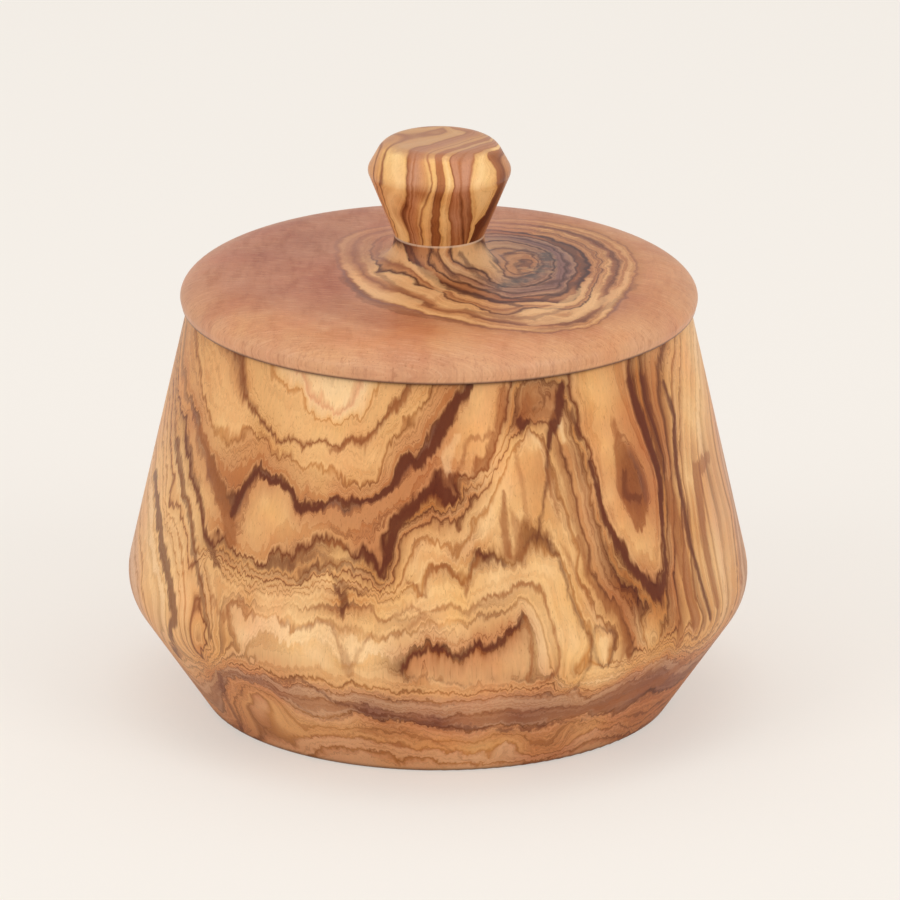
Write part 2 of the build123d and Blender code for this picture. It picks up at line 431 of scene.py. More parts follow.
        (4.45, [(-37.8, 45.8), (-36.5, 43.5), (-35, 46), (-33, 49.6), (-31, 52.8), (-29, 53.4),
            (-27.5, 52.2), (-26, 50), (-24, 48.7), (-21, 49.4), (-17, 49.6), (-13, 50.6), (-10.4, 51.6),
            (-7.8, 53.4), (-6, 55.5), (-4.5, 58), (-2.5, 59.4), (-0.5, 62), (1.8, 65.5), (4, 68),
            (5.6, 72)]),
        (5.0, [(-38.5, 41.5), (-36, 39.5), (-34.6, 38.6), (-31, 38.4), (-27.5, 40.4), (-24.5, 42.4),
            (-22, 44), (-19, 45.2), (-16.5, 44.6), (-14.5, 42.4), (-12.6, 43.2), (-10.6, 41.2),
            (-9.2, 39.8), (-8.8, 43), (-8.4, 47), (-6, 50.4), (-4, 52.4), (-1.8, 55.2), (-0.3, 57.4),
            (0.6, 53.8), (2.2, 51.6), (3.8, 53.4), (5.4, 56.8), (7, 57.6)]),
        (5.5, [(-31, 36.6), (-27, 38), (-24.8, 37.6), (-22.5, 39.4), (-20, 40.6), (-17, 41.2), (-14, 40.9),
            (-11.5, 40.3), (-10, 38.6)]),
        (6.0, [(-8, 40.5), (-7, 44.6), (-5.6, 47), (-4, 47.8), (-2.2, 48.6), (-0.8, 50.2), (1.2, 49.6),
            (2.4, 48.8), (3.9, 47.8), (4.2, 51), (5, 53.6), (6.4, 54.6)]),
        (6.5, [(-7.4, 37), (-5.4, 41), (-3.4, 45.4), (0, 45.4), (3.4, 43.8), (4.8, 46), (5.6, 49)]),
        # Lower arches down to the pale eye
        (7.0, [(-9.5, 36), (-7.5, 36.2), (-5.5, 37.8), (-3.2, 37.2), (-1.8, 40.6), (-0.4, 42), (2, 41.9),
            (3.4, 40), (4.6, 38.4), (5.6, 41), (6.8, 43.8)]),
        (7.0, [(12, 42), (14, 41.4)]),
        (7.0, [(22, 39.6), (23.4, 36), (24.6, 32), (26, 29.6), (26.6, 26), (26.4, 23), (25, 20.6),
            (23.6, 18.4)]),
        (8.0, [(-26, 33.2), (-22, 33.2), (-18, 34.2), (-14.5, 34.6), (-11, 34.4), (-8.6, 32), (-6, 32.2),
            (-3, 33.6), (-0.4, 34.2), (2.4, 35.4), (6, 34.8), (9, 36.2), (12, 37.2), (15, 38.3), (17.4, 37),
            (18.4, 35), (19.4, 32), (20.4, 28), (21, 24), (21, 20.6)]),
        (8.5, [(-37, 30.4), (-35.5, 31.6), (-33.6, 30), (-31, 29.6), (-28, 30.6), (-25.4, 28.6),
            (-22, 30.4), (-18, 30.6), (-14, 28.8), (-10, 28.6), (-7, 29.6), (-3.5, 31.4), (0, 31.6),
            (4, 32.6), (8, 32.8), (12, 34), (15.4, 34.6), (17.4, 32.4), (18.6, 28), (19.4, 23)]),
        # The eye above the belt, and the pale wood beside it
        (9.0, [(-6.6, 24), (-5.8, 26.2), (-3.6, 27.4), (0, 27.2), (1.6, 28.4), (3.4, 26.6), (5.4, 28),
            (7.6, 28.2), (9.8, 28), (11.6, 30), (13.6, 31), (15.4, 31.9), (16.4, 29), (17.2, 26),
            (17.4, 23), (16.6, 21)]),
        (9.4, [(-4.4, 24), (-2, 25.6), (2, 25.4), (6, 26), (10, 26.4), (13.4, 28.4), (14.6, 26), (15, 23.4),
            (10, 23.2), (4, 23), (-1, 22.8)]),
        (9.0, [(-5.4, 22.2), (0, 21.7), (4, 21.4), (9.5, 21.7), (13, 21), (16.2, 20.8)]),
        (8.8, [(-33.4, 27), (-30, 28), (-27, 27.6), (-24, 28.2), (-20, 29), (-17.4, 27)]),
        (9.1, [(-28, 25), (-24, 25), (-20, 25), (-11, 26), (-11, 23.6)]),
        (9.4, [(-32.6, 22.6), (-29, 21.8), (-24, 22), (-20, 22), (-15, 22.2), (-10, 22)]),
        (8.9, [(-16.2, 26), (-15.6, 23.6)]),
        # Level lines along the belt, and the band round the lower cone
        (10.0, [(-34.5, 21), (-31, 20.4), (-28, 19.4), (-25.5, 19.6), (-21.5, 20.8), (-19, 19.4),
            (-17, 19.2), (-15.6, 20.6), (-13, 20.4), (-9, 19.6), (-4, 19.8), (2, 19.5), (8, 19.8),
            (12.5, 20.2), (17.5, 19.2), (20.5, 20)]),
        (10.6, [(-37, 18.4), (-33, 18), (-30, 19), (-26, 18.2), (-22, 18.2), (-18.4, 17.8), (-14, 18.4),
            (-8, 17.6), (-2, 17.4), (4, 17.6), (7.6, 17.4), (11, 18.4), (14, 18.2), (16.8, 17.4),
            (19.4, 18), (21.4, 16.4), (23.4, 17.6), (24, 18), (25, 15.6), (27, 15), (30, 16.4), (34, 18.6),
            (37.4, 20.4), (40, 20.8), (42, 18.8), (43, 15)]),
        (11.3, [(-39, 12), (-38.6, 16), (-36.6, 17.8), (-33, 17.4), (-30, 17.6), (-27.6, 16), (-24, 16),
            (-20, 16.2), (-16, 16.2), (-12, 15.6), (-8, 14.4), (-4, 14), (0, 13.2), (5, 14), (10, 14.8),
            (15, 14), (20, 14.2), (24, 13.6), (28, 14), (32, 16), (36, 17.4), (38, 17)]),
        (12.2, [(-37.4, 4), (-38, 8), (-37.4, 12), (-36.4, 15.6), (-33, 16.4), (-30.4, 16.4), (-28, 14.8),
            (-25.4, 12.6), (-22, 11.2), (-19, 11.4), (-16, 13), (-12.6, 13.4), (-8.6, 12.2), (-4, 12),
            (-1, 11.4), (2, 11.6), (6, 10), (9.6, 10.8), (14, 10.2), (18.4, 9.5), (22, 10.2), (27, 9.6),
            (31, 8.2), (34, 9.4), (38, 12)]),
        # Lines under the band
        (13.0, [(-34.6, 2), (-35.4, 7), (-34.4, 12), (-32.6, 14.6), (-30, 14.6), (-27.6, 12.6),
            (-25.4, 9.6), (-23, 7)]),
        (13.6, [(-31.4, 4), (-33, 7), (-33.6, 10), (-32.8, 13), (-31.6, 13.8), (-30, 12.6), (-29.8, 9),
            (-29.6, 5)]),
        (13.0, [(-21, 8.6), (-16, 9.6), (-12, 10), (-9, 9.2), (-6.6, 9.6), (-3.4, 8), (0, 7.6), (4, 7.4),
            (8, 7)]),
        (13.6, [(-25, 2), (-25, 4.4), (-22, 5.8), (-17.6, 7), (-14, 7.4), (-10, 6.4), (-6.6, 6.8),
            (-5.6, 5.4), (-2, 6), (1.6, 4.4), (3.4, 5.4), (7, 4.4), (9, 2.6)]),
        (14.2, [(-22.4, 1), (-20.6, 3), (-16, 4), (-11, 4.2), (-8, 3.4), (-6, 2), (-4, 3.6), (1, 2.4),
            (5, 1.6)]),
        (13.2, [(11, 8.4), (14.6, 7.4), (15.4, 4.6), (17, 3), (19.4, 3.8), (21.4, 3.4), (22.4, 6),
            (23.4, 8.6), (27, 8.4), (31, 6.6), (34, 4)]),
        (14.0, [(12, 5), (16, 1.6), (20, 1.6), (24, 2.6), (28, 5), (31.6, 3.6), (33.4, 2)]),
        (14.8, [(-2, 0.4), (8, 0.4), (21, 0.4)]),
        # Left side
        (5.5, [(-46.4, 58), (-46.2, 53), (-46, 49), (-45, 45), (-43.4, 40), (-42.4, 37)]),
        (5.0, [(-44.4, 57), (-43.6, 50.6), (-42, 46), (-40.6, 41), (-39.4, 38)]),
        (6.0, [(-47.4, 41), (-47.3, 43.6), (-46.4, 46.2), (-45.2, 43), (-45, 40.6), (-44, 37), (-42.6, 34),
            (-41.6, 30), (-40.4, 26), (-40.2, 22), (-40.8, 18)]),
        (6.8, [(-46, 38), (-45.6, 34), (-45.2, 30), (-45, 26), (-44.8, 22)]),
        (8.0, [(-50, 48), (-49.8, 44), (-49.4, 40), (-49, 36), (-48, 32), (-47, 28.6), (-46.8, 25),
            (-46.4, 20), (-46, 15)]),
        (9.0, [(-51.4, 38), (-51, 33), (-49.6, 29), (-49, 25), (-48.2, 20)]),
        (10.0, [(-53, 34), (-52.4, 30), (-52.2, 26), (-51.6, 22)]),
        (11.0, [(-54.4, 28), (-53.8, 25), (-53, 21), (-51, 18)]),
        (7.6, [(-39, 28), (-39.2, 25), (-38.6, 22.4)]),
        (8.4, [(-37, 28), (-36.8, 25), (-34.8, 23), (-32.4, 21.4)]),
        (7.6, [(-40, 36), (-38.6, 33), (-38, 31)]),
        # Dark upright at the right, and the rings beyond it
        (4.1, [(34, 50), (33, 53), (32.6, 56)]),
        (4.45, [(30.4, 65), (30.4, 58), (30.8, 53), (32, 48.6), (34.4, 44.6), (36.4, 44.4), (37.2, 48),
            (36.4, 52), (34.6, 56), (32.6, 60), (30.8, 65)]),
        (4.75, [(27.8, 66), (27.8, 60), (28.4, 54)]),
        (4.75, [(36.8, 37), (38, 40), (38, 46), (37.6, 51)]),
        (4.75, [(35.4, 56.6), (33.4, 62), (32, 66), (31, 71)]),
        (5.0, [(35, 36.2), (37, 33.4), (38.8, 30.8), (39.3, 36), (39, 42), (38.6, 48), (38, 52), (36.8, 56),
            (35.4, 60), (34.2, 64), (33.4, 68), (33, 72.4)]),
        (5.5, [(31.6, 37.4), (34.6, 33.6), (37, 30.4), (38.8, 27), (38.6, 24), (37.6, 22.4)]),
        (6.5, [(42, 22), (43.4, 30), (43.2, 38), (42.6, 46), (41.8, 52), (41.2, 60)]),
        (7.0, [(45.6, 21), (45.2, 28), (44.4, 36), (43.8, 42), (43, 48), (42.2, 54)]),
        (8.0, [(49, 22), (48.4, 28), (47, 34), (46, 40), (45, 46), (44.6, 50)]),
        (9.0, [(50.6, 30), (49.4, 38), (48, 44), (46.8, 50), (46, 56)]),
        (10.0, [(53, 28), (52, 36), (50, 44)]),
        # Wedge at the right of the belt
        (6.0, [(26.2, 38), (28.4, 34.6), (31, 31.6), (33, 28), (34.2, 25), (33.4, 21.6)]),
        (6.5, [(24, 39), (25.6, 35.4), (27.2, 31.6), (29.4, 29.6), (30.8, 27), (31.2, 24.6), (30, 22)]),
        (5.5, [(39.9, 31), (40, 40), (39.9, 48), (39.2, 54), (37.4, 60), (36, 64), (35.2, 68), (34.8, 72)]),
        (5.8, [(40.7, 34), (40.7, 44), (40.2, 50), (39.4, 56), (37.8, 62), (36.8, 68), (36.6, 72)]),
        (6.1, [(41.4, 34), (41.4, 40), (41.1, 48), (40.5, 54), (39.8, 60), (38.9, 64), (39.3, 68),
            (40, 71.6)]),
        (6.75, [(28.4, 28.4), (28.2, 25.6), (28.8, 23)]),
        # Tall arch under the rim, right of the middle
        (5.0, [(7.2, 57.3), (8.6, 58.2), (9.8, 60.8), (10.6, 63.8), (11.5, 66.5), (12, 68.8),
            (12.4, 71.5)]),
        (5.0, [(21.9, 70.2), (22.4, 67.8), (23.8, 64.2), (24.9, 62), (25.6, 59.8), (26.3, 57.3),
            (27.2, 54.4), (27.9, 51.2), (28.8, 47.7), (30.2, 45), (31.6, 43), (33, 40.3)]),
        (5.5, [(7.2, 54.9), (8.2, 56.2), (9.6, 59.2), (11, 61.8), (12, 64.1), (12.7, 66.4), (13, 69),
            (13.2, 71.4)]),
        (5.5, [(21.7, 70.3), (22.1, 67.5), (23, 64.3), (24.4, 60.7), (25.2, 58.2), (25.9, 55.7),
            (26.6, 52.5), (27.2, 49.4), (28.1, 46.2), (28.8, 43), (29.8, 40.7)]),
        (6.0, [(7.2, 53.4), (7.9, 53.8), (9.2, 56.5), (10.6, 59.1), (12, 61.4), (12.9, 63.3)]),
        (6.0, [(20.5, 62.4), (21.4, 59.2), (22.1, 56.1), (23, 52.9), (24.2, 48.9), (25.1, 45.1),
            (26.1, 41.2)]),
        (6.5, [(7.2, 50), (7.9, 50.4), (9.3, 53.4), (10.6, 56.4), (12, 59), (13.2, 61.6)]),
        (6.5, [(13.4, 62.2), (15.1, 63.1), (15.8, 63.7), (16.9, 62.9), (18.3, 60.3), (18.8, 58.9)]),
        (6.5, [(19.3, 59.2), (20.5, 55), (21.6, 51.4), (22.5, 48.6), (23.5, 45), (24.4, 41.5)]),
        (6.8, [(14.1, 57.1), (15.5, 52.2), (17.6, 54), (17.6, 58.1)]),
        (7.0, [(14.6, 43.5), (15.3, 44.1), (16.2, 45.7), (17.3, 47.1), (18.5, 45.8), (19.3, 44),
            (20.7, 41.7)]),
        (5.7, [(15.1, 71.2), (17.6, 70.9), (20, 70.5), (17.6, 68.2), (15.1, 68.5), (20, 67.9)]),
        (5.75, [(15.5, 66.1), (17.6, 65.5), (20.9, 65.7)]),
    ],
    # Rings on the sides and the back: (degrees from the front, height, ring number)
    "ringsBehind": [
        (-90, 60, 7.5), (-90, 40, 9.5), (-90, 22, 12), (-90, 5, 14), (-120, 66, 7.5), (-120, 45, 9),
        (-120, 25, 11.5), (-120, 6, 14), (-150, 66, 7), (-150, 45, 8), (-150, 25, 10.5), (-150, 6, 13.5),
        (180, 66, 6.5), (180, 45, 7.2), (180, 25, 9.5), (180, 6, 13), (150, 66, 7.5), (150, 45, 9),
        (150, 25, 11), (150, 6, 13.5), (120, 66, 9.5), (120, 45, 11), (120, 25, 12.5), (120, 6, 14.5),
        (90, 66, 9.5), (90, 45, 11.5), (90, 25, 13), (90, 6, 15),
    ],
    "ease": 0.05,  # how far the surface may pass beside a guide point
    "weightEase": 0.3,
    # Strokes drawn over the rings: colour, strength, then (x, height, half width) along the stroke
    "strokes": [
        ("wine", 0.95, [(21.2, 70.7, 0.62), (20.8, 68.1, 0.93), (20.3, 65.3, 0.96), (19.7, 63, 0.76),
            (19.2, 60.7, 0.49)]),
        ("wine", 0.75, [(19.1, 59.9, 0.34), (18.9, 55.2, 0.38), (18.3, 51.5, 0.22), (17.3, 47.3, 0.22)]),
        ("wine", 0.95, [(14.1, 65.6, 0.93), (15.2, 64.8, 0.97)]),
        ("rust", 0.5, [(15.3, 69.1, 0.74), (15.7, 66.4, 1.22), (19.3, 65.8, 1.06)]),
        ("wine", 0.75, [(22.8, 66, 0.54), (24, 63.5, 0.55), (24.8, 61.3, 0.28)]),
        ("rust", 0.69, [(11.1, 71.2, 0.65), (10.8, 67.5, 0.72), (9.9, 63.9, 0.71), (8.8, 60.4, 0.85),
            (7.2, 58.3, 1.2)]),
        ("rust", 0.75, [(11.3, 53.3, 0.29), (11.5, 50.5, 0.68), (11.4, 47.2, 0.65), (12, 43.4, 0.72)]),
        ("rust", 0.5, [(12.5, 51.1, 0.29), (13.4, 47.7, 0.72), (13.9, 44.6, 1.01)]),
        ("rust", 0.38, [(13.4, 59.9, 0.25), (14.3, 55.7, 0.51), (15, 51.3, 0.51), (15.5, 48.5, 0.33)]),
        ("rust", 0.44, [(20.2, 61.4, 0.34), (21.4, 57, 0.54), (22.4, 53, 0.58), (23.5, 48.7, 0.66),
            (24.6, 45.2, 0.66), (25.4, 41.3, 0.67)]),
        ("rust", 0.31, [(22.8, 60, 0.27), (24.5, 55.6, 0.51), (25.6, 51.4, 0.48), (26.3, 47.9, 0.32)]),
        ("rust", 0.5, [(19.1, 56.5, 0.57), (19.4, 53.8, 0.45), (20.3, 50.9, 0.3), (21, 47.8, 0.23)]),
        ("wine", 0.56, [(15, 44, 0.43), (16.3, 45.5, 0.36), (17.3, 46.8, 0.39), (18.5, 45.8, 0.44),
            (19.3, 43.8, 0.37), (20.7, 41.6, 0.37)]),
        ("pale", 0.6, [(21, 64.1, 0.31), (21.9, 61.3, 0.46)]),
        ("pale", 0.5, [(16, 63, 0.36), (17.6, 60.3, 0.44)]),
        ("wine", 0.95, [(5.4, 72.3, 0.84), (2.8, 69.1, 1), (1.2, 66.3, 1.04), (-0.3, 63.1, 0.83),
            (-1.5, 60.7, 0.92), (-3.4, 59.2, 1.04), (-5.8, 59.6, 0.84), (-7.3, 56.1, 0.71),
            (-8.5, 54, 0.84), (-11.2, 52.4, 0.71), (-15.7, 51.4, 0.54), (-21.5, 51.1, 0.38)]),
        ("wine", 0.94, [(-0.1, 57.3, 0.33), (0.3, 55, 0.62), (1.8, 53, 1.04), (3.4, 52.7, 0.5)]),
        ("wine", 0.95, [(-0.9, 55.8, 0.5), (-3.4, 53, 1.04), (-5.8, 50.5, 1.13), (-7.3, 48, 0.96),
            (-8.3, 44.7, 0.84), (-9.3, 41.8, 0.67), (-10.4, 40.9, 0.34)]),
        ("wine", 0.62, [(-14.1, 42.9, 0.42), (-11.2, 42.1, 0.63), (-9.8, 40.6, 0.38)]),
        ("rust", 0.62, [(-19, 44.5, 0.5), (-16.6, 44.4, 0.54)]),
        ("wine", 0.5, [(-24, 38.9, 0.43), (-21.5, 40.2, 0.43), (-19.1, 41.2, 0.5), (-17, 40.7, 0.5),
            (-14.7, 40.5, 0.42)]),
        ("rust", 0.69, [(-18.6, 60.3, 0.34), (-17, 60.8, 0.55), (-14.5, 61.9, 0.51), (-12.4, 63, 0.55),
            (-10.6, 64.5, 0.21)]),
        ("rust", 0.75, [(-5.2, 71.5, 0.5), (-6.2, 69.8, 0.63), (-7.5, 68.6, 0.59), (-9.3, 66.6, 0.25)]),
        ("pale", 0.45, [(3, 63.1, 0.83), (1.2, 59.7, 1.08), (1.8, 57.2, 0.5)]),
        ("rust", 0.56, [(8.7, 64.3, 0.59), (5.1, 62.5, 0.54), (4.5, 59.8, 0.38), (2.9, 55.4, 0.42)]),
        ("rust", 0.44, [(8.7, 60.8, 0.38), (6.6, 58.9, 0.38), (4.7, 55.8, 0.42)]),
        ("wine", 0.56, [(6.3, 44.2, 0.42), (7.8, 43.3, 0.67), (8.8, 42.6, 0.59)]),
        ("wine", 0.94, [(-6.3, 22.8, 0.28), (-6, 24.5, 0.48), (-4.3, 26.2, 0.48), (-1.2, 27, 0.36),
            (2.8, 27.2, 0.36), (4.4, 26.8, 0.48), (7.2, 28.3, 0.32)]),
        ("wine", 0.38, [(-5.5, 22.4, 0.24), (-0.4, 21.7, 0.2), (7.1, 21.4, 0.24)]),
        ("rust", 0.69, [(-5.5, 38.6, 0.28), (-3.7, 38.3, 0.36), (-2.1, 36.5, 0.24), (-2.1, 38.9, 0.24),
            (-1.4, 41, 0.32), (0, 41.7, 0.48), (1.6, 41.6, 0.44), (3.2, 40.4, 0.32), (4.9, 37.7, 0.32),
            (5.5, 40.6, 0.32), (7, 43.2, 0.4)]),
        ("rust", 0.56, [(-24, 32.6, 0.24), (-18.9, 33.3, 0.32), (-11.8, 34, 0.32), (-9.2, 32.1, 0.44),
            (-7.1, 32.7, 0.32), (-4.3, 34.8, 0.2), (-2.5, 33.1, 0.24)]),
        ("rust", 0.5, [(-1, 33.9, 0.32), (1.2, 34.8, 0.48), (2.8, 35.2, 0.36), (4.5, 34.3, 0.4),
            (7.2, 34.7, 0.36)]),
        ("rust", 0.44, [(-12.6, 28.1, 0.24), (-10.6, 29.7, 0.36), (-9, 28.7, 0.4), (-6.7, 29.3, 0.4),
            (-3.5, 32.7, 0.28), (-0.4, 31.8, 0.24)]),
        ("rust", 0.44, [(-24, 29.6, 0.29), (-20.5, 30.6, 0.36), (-18.1, 30.1, 0.37), (-16.7, 26.6, 0.54),
            (-15.2, 22.1, 0.9)]),
        ("rust", 0.38, [(-12.2, 28.6, 0.24), (-14, 26.7, 0.41), (-14.8, 23.7, 0.49)]),
        ("wine", 0.75, [(-17.7, 37.7, 0.49), (-16.3, 35.9, 0.78), (-16.2, 34, 0.71), (-16.5, 32.5, 0.33)]),
        ("wine", 0.5, [(-24, 37.2, 0.55), (-21.7, 39.3, 0.62), (-18.9, 40.2, 0.44), (-16.9, 38.2, 0.45),
            (-14.5, 36.5, 0.36), (-12.2, 37.3, 0.32)]),
        ("wine", 0.38, [(-24, 40.6, 0.37), (-20.9, 42, 0.44), (-16.5, 41.6, 0.36), (-12.2, 42.4, 0.56),
            (-9.2, 39.7, 0.32)]),
        ("wine", 0.88, [(-8.2, 46.2, 0.44), (-8.8, 42.3, 0.48), (-9.2, 39.8, 0.28)]),
        ("pale", 0.35, [(-22.1, 26.3, 1.86), (-19.7, 24.3, 1.97)]),
        ("wine", 0.81, [(7.3, 28.3, 0.32), (9.2, 27.8, 0.52), (10.8, 28.3, 0.52), (12.8, 30.1, 0.36),
            (15.4, 31.8, 0.32)]),
        ("rust", 0.75, [(15.4, 31.8, 0.29), (15.9, 28.6, 0.25), (16.5, 25.9, 0.33), (16.4, 23.1, 0.33),
            (15.8, 21.3, 0.33)]),
        ("rust", 0.69, [(7.7, 35.6, 0.32), (11.2, 36.8, 0.36), (13.4, 37.8, 0.4), (15.1, 38, 0.52),
            (17.1, 37.3, 0.53), (18.3, 35.7, 0.37), (19.3, 32.9, 0.29), (20.5, 28.9, 0.3),
            (21.2, 25.3, 0.34), (20.9, 22.2, 0.34), (19.7, 20.7, 0.41), (18.1, 20, 0.28)]),
        ("wine", 0.62, [(19.2, 44.8, 0.5), (20.6, 42.1, 0.34), (21.9, 38.1, 0.3), (23.1, 34.2, 0.34),
            (24.8, 30.4, 0.34), (26.3, 27.9, 0.31), (26.7, 25.6, 0.32), (26.4, 22.5, 0.31),
            (24, 17.9, 0.34), (22.1, 17.1, 0.2)]),
        ("rust", 0.56, [(21.5, 43.7, 0.21), (23.1, 40, 0.3), (24.6, 36.7, 0.39), (26.3, 34.8, 0.34)]),
        ("rust", 0.62, [(24.3, 44, 0.57), (25.5, 40, 0.58), (26.4, 36.4, 0.53), (29, 32.8, 0.74),
            (31.1, 31.2, 0.9), (32.3, 28.4, 0.75), (33.4, 24.8, 0.73), (33.4, 21.9, 0.6)]),
        ("wine", 0.5, [(29.1, 43.1, 0.27), (31.1, 39.6, 0.23), (33.1, 35.6, 0.23), (35.1, 33.1, 0.24)]),
        ("wine", 0.62, [(31.4, 42.5, 0.7), (33.1, 39.7, 0.66), (35.1, 36.1, 0.58)]),
        ("wine", 0.62, [(27.5, 29.3, 0.22), (27, 27, 0.27), (27.4, 23.8, 0.27), (28.7, 21.5, 0.34),
            (29.9, 21.7, 0.35), (30.8, 24.3, 0.33), (30.6, 27.2, 0.27), (29, 28.6, 0.3),
            (27.6, 29.4, 0.25)]),
        ("rust", 0.44, [(31.1, 20.6, 0.32), (32.5, 23, 0.38), (32.2, 26.3, 0.38), (31, 28.6, 0.32)]),
        ("pale", 0.6, [(28.7, 26.3, 1.01), (29, 23.7, 0.92)]),
        ("wine", 0.62, [(5.5, 41.6, 0.24), (6.2, 43.2, 0.32), (7.5, 43.6, 0.44), (9.6, 43.2, 0.44),
            (11.6, 41.6, 0.36)]),
        ("rust", 0.5, [(12.2, 45.6, 0.49), (12.5, 43.2, 0.61), (14, 42.7, 0.72), (15.5, 44.1, 0.33)]),
        ("wine", 0.75, [(-50.2, 43.5, 1.04), (-48.8, 36.1, 1.46), (-47.2, 29.7, 1.15), (-46.3, 24, 1.09),
            (-46.1, 14.9, 0.87)]),
        ("wine", 0.62, [(-46.1, 51.9, 1.12), (-43.8, 42.7, 0.85), (-41.7, 33, 0.72), (-39.9, 24.6, 0.48)]),
        ("wine", 0.62, [(-44.3, 54.3, 0.84), (-41.7, 44.9, 0.83), (-38.7, 35.4, 0.71)]),
        ("rust", 0.75, [(-41.8, 56.6, 0.89), (-38.8, 50.6, 1.25), (-36.6, 44.4, 1.54), (-36.4, 41.1, 1.7)]),
        ("wine", 0.95, [(-35.9, 45.2, 0.52), (-34.8, 49.1, 0.77), (-31.5, 53.6, 0.59), (-28.4, 53.9, 0.61),
            (-25.3, 51, 0.75), (-23.2, 49.3, 0.71), (-20.3, 50.5, 0.63)]),
        ("wine", 0.56, [(-31.1, 38.2, 0.64), (-25.3, 39.8, 0.77)]),
        ("rust", 0.5, [(-39.5, 30.1, 0.47), (-37, 28.2, 0.6), (-36.4, 30.7, 0.57), (-34.4, 31.3, 0.52),
            (-32.2, 29.1, 0.49)]),
        ("rust", 0.5, [(-27.5, 30.3, 0.38), (-25.8, 28.6, 0.48), (-20.3, 30.1, 0.4)]),
        ("rust", 0.5, [(-31, 60.2, 0.44), (-27.5, 57.9, 0.7), (-25.5, 57.7, 0.36)]),
        ("wine", 0.94, [(32.9, 68.8, 0.46), (35.4, 61.1, 1.22), (38.8, 50.6, 0.74), (39.3, 40.9, 0.44),
            (39.8, 35.6, 0.66), (39.2, 32.4, 0.89), (37.8, 31.9, 0.88), (33.2, 38.6, 0.63),
            (29.2, 46.1, 0.68), (26.3, 56.6, 0.5)]),
        ("wine", 0.69, [(35.6, 67.8, 0.88), (36.7, 62, 1.02), (39.5, 51.3, 0.6)]),
        ("wine", 0.88, [(39.3, 66.2, 0.59), (41.1, 60.4, 0.65), (41.6, 51.7, 0.78), (44.1, 37.9, 0.67),
            (47.9, 23.8, 0.53)]),
        ("rust", 0.62, [(40.3, 48.7, 1.08), (42.6, 36.8, 1.78), (45.3, 24.7, 1.42)]),
        ("rust", 0.69, [(30.6, 62.5, 0.49), (32.9, 52.2, 2.73), (35.2, 45.5, 2.01)]),
        ("wine", 0.62, [(32.3, 54.2, 0.58), (32.6, 50.4, 0.77), (35.1, 48.5, 0.74)]),
        ("rust", 0.62, [(47.5, 49.2, 1.21), (45.5, 48.2, 1.94), (46.6, 37.5, 1.29), (49.1, 25.4, 1.08)]),
        ("rust", 0.44, [(51.6, 40.3, 0.74), (53.7, 25.1, 1.18)]),
        ("rust", 0.5, [(41.7, 27.6, 0.86), (42.6, 22.4, 1.09)]),
        ("wine", 0.56, [(-38.2, 16.1, 0.41), (-37.6, 10.6, 0.68), (-34.2, -0.1, 0.65)]),
        ("wine", 0.62, [(-38, 16.8, 0.31), (-28.2, 18.7, 0.42), (-23.5, 19.5, 0.48), (-17.1, 15.4, 0.53),
            (-7.3, 12.9, 0.7), (5.5, 10.8, 0.76), (20.1, 9.3, 0.58), (34.2, 10.7, 0.3)]),
        ("wine", 0.5, [(-29.4, 16.5, 0.19), (-20.1, 10.6, 0.24), (-14.3, 12.9, 0.18)]),
        ("wine", 0.44, [(-17.1, 19.5, 0.12), (-15.1, 20.6, 0.18), (-6.1, 17.1, 0.23), (3.2, 16.4, 0.12)]),
        ("wine", 0.44, [(-6.1, 21.6, 0.17), (15.3, 21, 0.17), (21.1, 21, 0.23)]),
        ("rust", 0.44, [(8.9, 20, 0.23), (23.5, 16.6, 0.47), (32.9, 17, 0.36), (41.1, 19.9, 0.33)]),
        ("rust", 0.62, [(19.5, 10.7, 0.59), (31.8, 12, 1.27), (40.1, 13.8, 1.64), (44.2, 16.6, 1.41)]),
        ("wine", 0.44, [(19, 3.5, 0.18), (21.9, 4.9, 0.25), (23.6, 7.9, 0.19)]),
        ("rust", 0.44, [(-22.5, 5.6, 0.42), (-12, 9.5, 0.41), (-6.1, 5.5, 0.29)]),
        ("rust", 0.44, [(-10.8, 12.1, 0.23), (-1.5, 8.6, 0.47), (6.7, 1.2, 0.29)]),
    ],
    "strokeEdge": 0.4,
    "feather": 1.0,
    # Lines that cross the upright fibres are frayed along them: scale of the noise, and how far it moves them
    "coarseFray": ((0.32, 0.32, 0.06), 5.0),
    "fineFray": ((1.5, 1.5, 0.16), 2.4),
    "sway": ((0.2, 0.2, 0.2), 1.6),
    # Painted contact shadow at the foot's edge, and painted shade at the rim's top edge under the lid
    "footLine": {"from": 0.9, "to": 0.0, "cover": 0.75},
    "rimLine": {"from": 72.0, "to": 72.7, "cover": 0.8},
    "rimOutside": (43.2, 44.05),  # inside this radius the top of the rim keeps its colour
    "fibres": (2.6, 2.6, 0.14),
    "turningMarks": 3.0,
    "finish": {
        "pink": 0.5, "gold": 0.6, "streak": 0.07, "pore": 0.5,
        "roughness": 0.4, "shine": 0.22, "bump": 0.25,
    },
}


def jarRadius(height):
    # Outside radius of the double cone, with the belt's corner rounded off
    up = jar["height"] - jar["beltHeight"]
    lower = jar["footRadius"] + (jar["beltRadius"] - jar["footRadius"]) * height / jar["beltHeight"]
    upper = jar["rimRadius"] + (jar["beltRadius"] - jar["rimRadius"]) * (jar["height"] - height) / up
    return min(lower, upper) - jar["beltInset"] * max(0.0, 1 - abs(lower - upper) / jar["beltRound"]) ** 2


def onJar(x, height):
    return (x, -sqrt(max(jarRadius(height) ** 2 - x ** 2, 0)), height)


def roundJar(turn, height):
    radius = jarRadius(height)
    return (radius * sin(radians(turn)), -radius * cos(radians(turn)), height)


